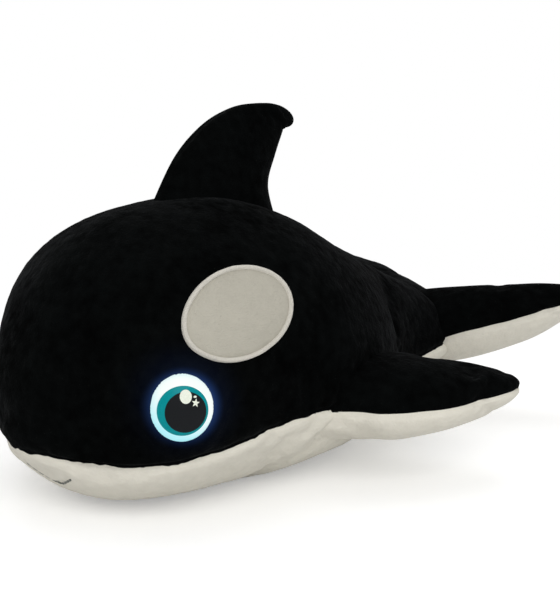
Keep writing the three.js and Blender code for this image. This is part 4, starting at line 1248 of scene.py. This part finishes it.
class ORCA_OT_flippers(bpy.types.Operator):
    """Sew and stuff the two flippers"""
    bl_idname = "orca.flippers"
    bl_label = "Flippers"

    def execute(self, context):
        place, axis = hinge("left_flipper_bend")
        out = axis.cross(UP)
        matrix = Matrix.Translation(place) @ Matrix((out, axis, UP)).transposed().to_4x4()
        sizes = (FLIPPER_REACH, FLIPPER_CHORD, FLIPPER_CHORD, FLIPPER_THICK, FLIPPER_LIFT)
        rows = np.array(FLIPPER_SHARES) * sizes
        rings = stuffed(partial(limb_rings, rows, matrix, lambda out: 0), 5, 15)
        left = [place - out * FLIPPER_BEND, place + out * FLIPPER_BEND]
        right = [Vector((-p.x, p.y, p.z)) for p in left]
        limb_pair("flipper", rings, ("left_flipper", "right_flipper"), (left, right))
        return {"FINISHED"}


class ORCA_OT_tail_fin(bpy.types.Operator):
    """Sew and stuff the two lobes of the tail fin"""
    bl_idname = "orca.tail_fin"
    bl_label = "Tail fin"

    def execute(self, context):
        place, _ = hinge("tail_fin_bend")
        rows = [[o * FLUKE_REACH, place.y + (f + FLUKE_HUB_SHARE) * FLUKE_CHORD,
                 place.y + (r + FLUKE_HUB_SHARE) * FLUKE_CHORD, t * FLUKE_THICK,
                 place.z - FLUKE_SINK + up * FLUKE_RISE] for o, f, r, t, up in FLUKE_SHARES]
        rings = stuffed(partial(limb_rings, rows, Matrix.Identity(4), self.seam_dip), 7, 20)
        ends = [Vector((0, place.y + away, place.z)) for away in (-FLUKE_BEND, FLUKE_BEND)]
        limb_pair("fluke", rings, ("tail_fin", "tail_fin"), (ends, ends))
        return {"FINISHED"}

    def seam_dip(self, out):
        """The angle by which the black plush wraps under the front edge, most at the tail stock"""
        everywhere, at_stock, fades_over = 0.2, 1.03, 0.2
        return everywhere + at_stock * math.exp(-(out / FLUKE_REACH / fades_over) ** 2)


class ORCA_OT_back_fin(bpy.types.Operator):
    """Sew and stuff the back fin"""
    bl_idname = "orca.back_fin"
    bl_label = "Back fin"

    def execute(self, context):
        rings = stuffed(self.rings, 5, 13)
        arm = rings - rings.mean(axis=1, keepdims=True)
        rows, count = rings.shape[:2]
        distance = seam_distance(rings, rings[:, :1], rings[:, count // 2:count // 2 + 1])
        seam_share, most = 0.6, 0.3
        depth = seam_share * drawn_in(distance, rings[..., 2])
        reach = np.maximum(np.linalg.norm(arm, axis=2), 1e-6)
        rings = rings - arm * (np.minimum(depth, reach * most) / reach)[..., None]
        faces = [*grid_faces(rows, count, closed=True), tuple(range(count))]
        fin = new_piece("back_fin_plush", rings.reshape(-1, 3), faces, look("black_plush"))
        sewn(fin, "back_fin", "black_plush", "body")
        return {"FINISHED"}

    def rings(self, steps, around, slack):
        """Rings up the fin, each from its rear edge round the left side to its front edge and back"""
        base = NOSE + FIN_START_SHARE * LENGTH
        rows = np.array([[base + (front + rear) / 2 * FIN_LENGTH, HEIGHT + (high + low) / 2 * FIN_HEIGHT,
                          (rear - front) / 2 * FIN_LENGTH, (low - high) / 2 * FIN_HEIGHT,
                          thick / 2 * FIN_THICK] for high, front, rear, low, thick in FIN_SHARES])
        tip_angle = 0.1
        rows = rounded_off(smooth(rows[:-1], steps, after=rows[-1]), rows[-1][:2], tip_angle, steps)
        side, ahead = np.sin(turns(around)), np.cos(turns(around))
        return np.array([np.column_stack([slackened(thick, slack) * side, y + along * ahead, z + up * ahead])
                         for y, z, along, up, thick in rows])


# Trim
class ORCA_OT_patches(bpy.types.Operator):
    """Sew on the pale patch behind each eye, with its satin-stitched rim"""
    bl_idname = "orca.patches"
    bl_label = "Patches"

    def execute(self, context):
        tree = surface_of(bpy.data.objects["back_plush"])
        matrix = surface_frame(PATCH_SHARE, PATCH_ANGLE) @ Matrix.Rotation(math.radians(PATCH_TILT), 4, "Z")
        field = self.field(tree, matrix)
        rim = self.satin_rim(tree, matrix, context.scene.orca_plush.stitches)
        paired(field, "eye_patch")
        paired(rim, "patch_rim")
        return {"FINISHED"}

    def field(self, tree, matrix):
        """The oval itself, which rises from under the rim"""
        around, rings, under_rim, least, sunk = 96, 22, RIM_WIDTH * 0.6, 0.0002, -0.0003
        a, b = PATCH_LENGTH / 2 - under_rim, PATCH_HEIGHT / 2 - under_rim
        points = []
        for on_top in (True, False):
            for share in (np.arange(rings) + 1) / rings:
                lift = PATCH_RISE * (1 - share ** 6) + least if on_top else sunk
                points += [laid_on(tree, matrix, x, y, lift)
                           for x, y in ellipse(a * share, b * share, around)]
        return new_piece("left_eye_patch_plush", points, disc_faces(rings, around), look("grey_plush"))

    def satin_rim(self, tree, matrix, count):
        """Short stitches side by side across the rim, each an arch of thread"""
        a, b = PATCH_LENGTH / 2 - RIM_WIDTH / 2, PATCH_HEIGHT / 2 - RIM_WIDTH / 2
        oval = np.array(ellipse(a, b, 720))
        track = resampled(np.vstack([oval, oval[:1]]), np.arange(count + 1) / count)
        half_wide = np.linalg.norm(track[1] - track[0]) * 0.62
        half_high, sunk, lean, steps, sides = 0.0005, 0.0004, 0.16, 7, 6
        threads = Threads()
        for i in range(count):
            along = track[i + 1] - track[i - 1 if i else count - 1]
            along /= np.linalg.norm(along)
            across = np.array([along[1], -along[0]]) + along * lean
            rings = []
            for share in np.linspace(-1, 1, steps):
                middle = track[i] + across * share * RIM_WIDTH / 2
                arch = RIM_RISE * (1 - share ** 4)
                rings.append([laid_on(tree, matrix, *(middle + along * half_wide * math.cos(angle)),
                                      arch + half_high * math.sin(angle) - sunk) for angle in turns(sides)])
            threads.add(rings)
        return threads.piece("left_patch_rim_stitches", "pale_thread")


class ORCA_OT_mouth(bpy.types.Operator):
    """Stitch the mouth across the chin, with a thin dark line of thread above it on each side"""
    bl_idname = "orca.mouth"
    bl_label = "Mouth"

    def execute(self, context):
        tree = surface_of(bpy.data.objects["belly_plush"])
        threads = Threads()
        self.stitch(threads, tree, smile(), 11, radius=0.00095, sunk=0.00045)
        for side in (1, -1):
            self.stitch(threads, tree, np.array(CORNER) * (side, 1), 2, radius=0.0006, sunk=0.0005)
        declare(threads.piece("mouth_stitches", "dark_thread"), "body", "mouth_stitching")
        return {"FINISHED"}

    def stitch(self, threads, tree, line, count, radius, sunk):
        """Stitches of thread end to end along a line of (x, z), laid on the chin"""
        steps, sides, overlap, thinnest = 9, 8, 0.0002, 0.05
        track = resampled(line, np.linspace(0, 1, count * (steps - 1) + 1))
        for i in range(count):
            rings = []
            for s in range(steps):
                share = s / (steps - 1) * 2 - 1
                place = i * (steps - 1) + s
                x, z = track[place]
                after, before = track[min(place + 1, len(track) - 1)], track[max(place - 1, 0)]
                hit, normal = met(tree, Vector((x, -0.3, z)), Vector((0, 1, 0)), 0.4)
                way = Vector((after[0] - before[0], 0, after[1] - before[1])).normalized()
                way = (way - normal * way.dot(normal)).normalized()
                side = normal.cross(way)
                wide = radius * math.sqrt(max(thinnest, 1 - share ** 4))
                rings.append([hit + normal * (wide * math.sin(angle) - sunk) + side * wide * math.cos(angle)
                              + way * overlap * share for angle in turns(sides)])
            threads.add(rings)


# Eyes
def shaped_cap(name, outline, aim, lift, slot, matrix, rings=10):
    """A thin closed print on the dome: an outline round an aimed point, from its middle to its edge"""
    back, up = (math.radians(v) for v in aim)
    turn = Matrix.Rotation(back, 3, "Y") @ Matrix.Rotation(-up, 3, "X")
    points = []
    for radius in (DOME_SPHERE + lift + INK, DOME_SPHERE + lift):
        for i in range(rings):
            share = (i + 1) / rings
            for x, y in outline:
                flat = Vector((x * share, y * share, 0))
                flat.z = math.sqrt(max(0, DOME_SPHERE ** 2 - flat.length_squared))
                place = turn @ (flat.normalized() * radius)
                points.append(matrix @ Vector((place.x, place.y, place.z + DOME_CENTRE)))
    return new_piece(name, points, disc_faces(rings, len(outline)), look(slot), 50)


class ORCA_OT_eyes(bpy.types.Operator):
    """Make the lit eyes: dome, printed iris and pupil, highlights"""
    bl_idname = "orca.eyes"
    bl_label = "Eyes"

    def execute(self, context):
        matrix = eye_frame() @ Matrix.Diagonal((EYE_OVAL, 1, 1, 1))
        dome = self.dome(matrix)
        iris = shaped_cap("left_eye_iris_print", ellipse(*IRIS, 64), IRIS_AIM, IRIS_LIFT,
                          "teal_print", matrix)
        pupil = shaped_cap("left_eye_pupil_print", ellipse(*PUPIL, 64), PUPIL_AIM, PUPIL_LIFT,
                           "black_print", matrix)
        glint = shaped_cap("left_eye_glint_print", ellipse(*GLINT), GLINT_AIM, GLINT_LIFT,
                           "pale_print", matrix)
        star = shaped_cap("left_eye_glint_star_print", self.star(), STAR_AIM, GLINT_LIFT,
                          "pale_print", matrix, 3)
        joined(star, shaped_cap("dot", ellipse(*DOT, 20), DOT_AIM, GLINT_LIFT, "pale_print", matrix, 3))
        paired(dome, "eye_dome")
        paired(iris, "eye_iris")
        paired(pupil, "eye_pupil")
        paired(glint, "eye_glint")
        paired(star, "eye_glint_dot")
        return {"FINISHED"}

    def dome(self, matrix):
        """A hollow cap of a sphere on a short skirt"""
        foot, inner = 0.0003 - EYE_SEAT, DOME_SPHERE - DOME_WALL
        rim, inner_rim = math.asin(EYE_RADIUS / DOME_SPHERE), math.asin((EYE_RADIUS - DOME_WALL) / inner)

        def arc(sphere, angles):
            return [(sphere * math.sin(a), DOME_CENTRE + sphere * math.cos(a)) for a in angles]

        profile = [*arc(inner, np.linspace(0, inner_rim, 12)), (EYE_RADIUS - DOME_WALL, foot),
                   (EYE_RADIUS, foot), *arc(DOME_SPHERE, np.linspace(rim, 0, 24))]
        return lathe("left_eye_dome_lit", profile, matrix, look("milky_plastic"))

    def star(self):
        """The outline of a small five-pointed sparkle"""
        first, waist = 1.35, 0.42
        reaches = [(STAR_RADIUS * (waist if k % 2 else 1), first + k * math.pi / 5) for k in range(10)]
        return [(reach * math.cos(angle), reach * math.sin(angle)) for reach, angle in reaches]


# The pouch and the closing tape
class ORCA_OT_pouch(bpy.types.Operator):
    """Sew the pouch round the battery box, the closing tape and the flap's hem"""
    bl_idname = "orca.pouch"
    bl_label = "Pouch and closing tape"

    def execute(self, context):
        self.tape("hook_tape", "flap", "flap_plush", True)
        self.tape("loop_tape", "body", "belly_plush", False)
        self.pouch()
        self.hem()
        return {"FINISHED"}

    def tape(self, node, body, rests_on, hooked):
        """A woven strip with its stitching, and either hooks above it or loops below it"""
        tree = surface_of(frame["nodes"][node])
        low, high = (Vector(corner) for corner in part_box(node))
        thick, inset, least_sheet = 0.0006, 0.0003, 0.01
        out = 1 if hooked else -1
        xs = np.linspace(low.x + inset, high.x - inset, 81)
        ys = np.linspace(low.y + inset, high.y - inset, 25)
        base = np.array([[height_on(tree, x, y, hooked) for y in ys] for x in xs])
        x, y = np.meshgrid(xs, ys, indexing="ij")
        edge = np.minimum(np.minimum(x - xs[0], xs[-1] - x), np.minimum(y - ys[0], ys[-1] - y))
        rounding = np.sqrt(1 - (1 - np.clip(edge / thick, 0, 1)) ** 2)
        sides = [np.stack([x, y, base + out * thick / 2 * (1 + side * rounding)], axis=2) for side in (1, -1)]
        points = np.vstack([side.reshape(-1, 3) for side in sides])
        faces = grid_faces(*x.shape) + [f[::-1] for f in grid_faces(*x.shape, x.size)]
        strip = new_piece(node + "_strip", points, faces, look("closing_tape"))
        pile = self.pile(node, low, high, hooked, out,
                         lambda x, y: height_on(tree, x, y, hooked) + out * thick)
        declare(strip, body, node)
        declare(pile, body)

    def pile(self, node, low, high, hooked, out, surface):
        """The hooks or loops on a strip, and the stitches round it"""
        pitch, radius, border, length, gap = 0.0017, 0.00014, 0.0013, 0.002, 0.0008
        hook = ((0, -0.0001), (0, 0.0003), (0.0002, 0.0005), (0.0005, 0.0003))
        loop = ((-0.0005, -0.0001), (-0.0003, 0.0004), (0.0003, 0.0004), (0.0005, -0.0001))
        threads = Threads()
        for i, x in enumerate(np.arange(low.x + 0.0027, high.x - 0.0024, pitch)):
            for k, y in enumerate(np.arange(low.y + 0.0024, high.y - 0.0021, pitch)):
                z = surface(x, y)
                turn = 1 if (i + k) % 2 else -1
                path = [(x, y + along * turn, z + out * up) for along, up in (hook if hooked else loop)]
                threads.strand(path, radius, Vector((1, 0, 0)))
        front, rear, left, right = low.y + border, high.y - border, low.x + border, high.x - border
        corners = [(left, front), (right, front), (right, rear), (left, rear)]
        threads.running_stitches(corners, length, gap, surface, out)
        return threads.piece(node + ("_hooks" if hooked else "_loops"), "closing_tape")

    def outline(self, half, inset):
        """A rectangle with round corners, as points of (x, y) about its middle"""
        a, b, r = half.x - inset, half.y - inset, max(0.0016 - inset, 0.0002)
        corners = []
        for k, (x, y) in enumerate(((1, 1), (-1, 1), (-1, -1), (1, -1))):
            turn = k * math.pi / 2
            corners.append([(x * (a - r) + r * math.cos(angle), y * (b - r) + r * math.sin(angle))
                            for angle in np.linspace(turn, turn + math.pi / 2, 6)])
        corners = np.array(corners)
        ring = []
        for arc, after, steps in zip(corners, np.roll(corners, -1, axis=0)[:, 0], (12, 22, 12, 22)):
            ring += list(arc) + [arc[-1] + (after - arc[-1]) * s / steps for s in range(1, steps)]
        return np.array(ring)

    def pouch(self):
        """Four cloth walls and a top, with a hem below and an eyelet for each lead"""
        tree = surface_of(frame["nodes"]["battery_pouch"])
        low, high = (Vector(corner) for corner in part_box("battery_pouch"))
        middle, half = (low + high) / 2, (high - low) / 2
        wall, hem, edge, top = 0.0009, 0.0046, 0.0012, high.z
        fold, step, waist, sag = 0.0003, 0.0004, 0.0003, 0.0002
        ring = self.outline(half, 0)
        ways = self.outline(half, -0.001) - ring
        ways /= np.linalg.norm(ways, axis=1, keepdims=True)
        inside = self.outline(half, 0.0006) + (middle.x, middle.y)
        foot = np.array([height_on(tree, x, y, True) for x, y in inside])

        def around(out, z, share=1.0):
            """A ring of points at a distance out of the walls, or a share of the way from the middle to it"""
            flat = (ring + ways * out) * share + (middle.x, middle.y)
            return np.column_stack([flat, np.broadcast_to(z, len(ring))])

        rows = [around(0.0, foot), around(fold, foot + fold), around(fold, foot + hem),
                around(0.0, foot + hem + step)]
        for share in np.linspace(0.05, 1, 12):
            z = foot + hem + step + (top - edge - foot - hem - step) * share
            rows.append(around(-waist * math.sin(math.pi * share), z))
        for angle in np.radians((30, 60, 90)):
            rows.append(around(-edge * (1 - math.cos(angle)), top - edge + edge * math.sin(angle)))
        walls = len(rows)
        rows += [around(-edge, top, share) for share in (0.97, 0.9, 0.8, 0.65, 0.5, 0.35, 0.2, 0.08)]
        grid = np.array(rows)
        grid[..., :2] += ways * (rough(grid, 0.012, 11) * sag)[..., None]
        grid[walls:, :, 2] -= sag + sag * rough(grid[walls:], 0.01, 12)
        rows, count = grid.shape[:2]
        faces = [*grid_faces(rows, count, closed=True), tuple(range((rows - 1) * count, rows * count))]
        cloth = new_piece("battery_pouch_cloth", grid.reshape(-1, 3), faces, look("pouch_cloth"))
        if max(cloth.data.polygons, key=lambda p: p.center.z).normal.z < 0:
            cloth.data.flip_normals()
        thickened(cloth, wall)
        eyelets = self.eyelets(cloth, wall, top)
        stitches = self.seams([around(fold, foot + hem * 0.75), around(fold, top - 0.0035)])
        declare(cloth, "body", "battery_pouch")
        declare(eyelets, "body")
        declare(stitches, "body")

    def eyelets(self, cloth, wall, top):
        """Cuts a hole for each lead in the cloth and sets a metal eyelet in it"""
        inside = -wall - 0.0002
        profile = [(0.0021, inside), (0.0021, 0), (0.0024, 0.0003), (0.003, 0.0003), (0.0033, 0),
                   (0.0033, -0.0003), (0.0026, -0.0004), (0.0026, inside), (0.0021, inside)]
        drill = [(0, -0.004), (0.0025, -0.004), (0.0025, 0.004), (0, 0.004)]
        rings = []
        lead_x, lead_y = 0.007, 0.034
        for x in (lead_x, -lead_x):
            place = Matrix.Translation((x, lead_y, top - 0.0002))
            boolean(cloth, lathe("hole", drill, place, None, 32), "DIFFERENCE")
            rings.append(lathe("eyelet", profile, place, look("contact_metal"), 40))
        finish_mesh(cloth)
        joined(*rings)
        rings[0].name = "battery_pouch_eyelets"
        return rings[0]

    def seams(self, rings):
        """Running stitches along closed rings of points"""
        count, steps = 84, 4
        threads = Threads()
        for ring in rings:
            track = resampled(np.vstack([ring, ring[:1]]), np.arange(count * steps + 1) / (count * steps))
            for k in range(count):
                threads.strand(track[k * steps:k * steps + steps], 0.0002, UP)
        return threads.piece("battery_pouch_stitches", "pale_thread")

    def hem(self):
        """Running stitches round the flap and round the opening that it closes"""
        lowest, length, gap = 0.00002, 0.003, 0.0012
        for name, body, grow in (("flap_plush", "flap", -0.0025), ("belly_plush", "body", 0.0025)):
            tree = surface_of(bpy.data.objects[name])
            side, front, rear = FLAP_HALF + grow, FLAP_FRONT - grow, FLAP_BACK + grow
            threads = Threads()
            corners = [(-side, front), (side, front), (side, rear), (-side, rear)]
            threads.running_stitches(corners, length, gap, lambda x, y: height_on(tree, x, y, True), -1)
            threads.points = [(x, y, max(z, lowest)) for x, y, z in threads.points]
            declare(threads.piece(name.replace("plush", "hem_stitches"), "pale_thread"), body)


class ORCA_OT_electrics(bpy.types.Operator):
    """Finish the plastic, metal and wire that the frame carries"""
    bl_idname = "orca.electrics"
    bl_label = "Electrics"

    def execute(self, context):
        for name, node in frame["nodes"].items():
            slot = next((slot for key, slot in FINISHES.items() if key in name), None)
            if slot:
                node.data.materials.clear()
                node.data.materials.append(look(slot))
        return {"FINISHED"}


class ORCA_OT_stage(bpy.types.Operator):
    """Set the pale floor, the soft lights and the camera"""
    bl_idname = "orca.stage"
    bl_label = "Stage"

    def execute(self, context):
        stage = context.scene.orca_stage
        context.scene.view_settings.view_transform = "Standard"
        self.floor()
        self.surroundings(context.scene, stage.world)
        self.lamp("key", (1.1, -0.85, 0.95), 0.9, stage.key)
        self.lamp("top", (-0.3, 0.2, 1.5), 1.4, stage.top)
        self.camera(context.scene, stage)
        return {"FINISHED"}

    def floor(self):
        """A pale floor that keeps the shadow and fades to white around it"""
        nodes = Nodes("floor")
        ray = nodes.add("LightPath")
        seen = ray.outputs["Is Camera Ray"]
        for kind in ("Is Glossy Ray", "Is Transmission Ray"):
            seen = nodes.maths("MAXIMUM", seen, ray.outputs[kind])
        away = nodes.vectors("LENGTH", nodes.add("TexCoord").outputs["Object"])
        shaded, plain_from, lift = 0.24, 0.62, 0.3
        away = nodes.add("MapRange", {"Value": away, "From Min": shaded, "From Max": plain_from},
                         interpolation_type="SMOOTHSTEP").outputs["Result"]
        nodes.set(Base_Color=(0.9, 0.9, 0.9, 1), Roughness=1.0, Emission_Color=(1, 1, 1, 1),
                  Specular_IOR_Level=0.0)
        nodes.link(nodes.maths("MULTIPLY", seen, lift), "Emission Strength")
        plain = nodes.add("Emission", {"Color": (1, 1, 1, 1)}).outputs[0]
        share = nodes.maths("MULTIPLY", seen, away)
        mixed = nodes.add("MixShader", {0: share, 1: nodes.shader.outputs[0], 2: plain})
        nodes.tree.links.new(mixed.outputs[0], nodes.tree.nodes["Material Output"].inputs[0])
        size, low = 6.0, -0.0001
        corners = [(-size, -size, low), (size, -size, low), (size, size, low), (-size, size, low)]
        new_piece("floor", corners, [(0, 1, 2, 3)], nodes.material)

    def surroundings(self, scene, strength):
        """White for the camera, and a plain level of light for the object"""
        scene.world = bpy.data.worlds.new("studio")
        scene.world.use_nodes = True
        tree = scene.world.node_tree
        background = tree.nodes["Background"]
        ray = tree.nodes.new("ShaderNodeLightPath")
        level = tree.nodes.new("ShaderNodeMapRange")
        level.inputs["To Min"].default_value = strength
        level.inputs["To Max"].default_value = 1.0
        tree.links.new(ray.outputs["Is Camera Ray"], level.inputs["Value"])
        tree.links.new(level.outputs["Result"], background.inputs["Strength"])
        background.inputs["Color"].default_value = (1, 1, 1, 1)

    def lamp(self, name, place, size, power):
        data = bpy.data.lights.new(name, "AREA")
        data.size = size
        data.energy = power
        lamp = bpy.data.objects.new(name, data)
        lamp.location = place
        lamp.rotation_euler = (TARGET - Vector(place)).to_track_quat("-Z", "Y").to_euler()
        bpy.context.collection.objects.link(lamp)

    def camera(self, scene, stage):
        """A camera whose focal length and middle were fitted to the photograph, in pixels"""
        focal, centre_x, centre_y, width, height = 1120.5, 247.2, 335.6, 560, 610
        data = bpy.data.cameras.new("camera")
        data.sensor_width = 36
        data.lens = focal * data.sensor_width / height
        data.shift_x = (width / 2 - centre_x) / height
        data.shift_y = (centre_y - height / 2) / height
        data.clip_start = 0.01
        azimuth, elevation = math.radians(stage.azimuth), math.radians(stage.elevation)
        level = math.cos(elevation)
        back = Vector((math.sin(azimuth) * level, -math.cos(azimuth) * level, math.sin(elevation)))
        camera = bpy.data.objects.new("camera", data)
        camera.location = TARGET + back * stage.distance
        camera.rotation_euler = (-back).to_track_quat("-Z", "Y").to_euler()
        bpy.context.collection.objects.link(camera)
        scene.camera = camera


OPERATORS = (ORCA_OT_body, ORCA_OT_flippers, ORCA_OT_tail_fin, ORCA_OT_back_fin, ORCA_OT_patches,
             ORCA_OT_mouth, ORCA_OT_eyes, ORCA_OT_pouch, ORCA_OT_electrics, ORCA_OT_stage)


class ORCA_PT_panel(bpy.types.Panel):
    """Lists the steps in the order they are made"""
    bl_idname = "ORCA_PT_panel"
    bl_label = "Night Light"
    bl_space_type = "VIEW_3D"
    bl_region_type = "UI"
    bl_category = "Night Light"

    def draw(self, context):
        for operator in OPERATORS:
            self.layout.operator(operator.bl_idname)


GROUPS = {"orca_plush": PlushSettings, "orca_eye": EyeSettings, "orca_stage": StageSettings}


def register():
    for name, group in GROUPS.items():
        bpy.utils.register_class(group)
        setattr(bpy.types.Scene, name, PointerProperty(type=group))
    for part in (*OPERATORS, ORCA_PT_panel):
        bpy.utils.register_class(part)


def unregister():
    for part in (ORCA_PT_panel, *reversed(OPERATORS)):
        bpy.utils.unregister_class(part)
    for name, group in reversed(list(GROUPS.items())):
        delattr(bpy.types.Scene, name)
        bpy.utils.unregister_class(group)


def main():
    register()
    for operator in OPERATORS:
        family, step = operator.bl_idname.split(".")
        getattr(getattr(bpy.ops, family), step)()


if __name__ == "__main__":
    main()
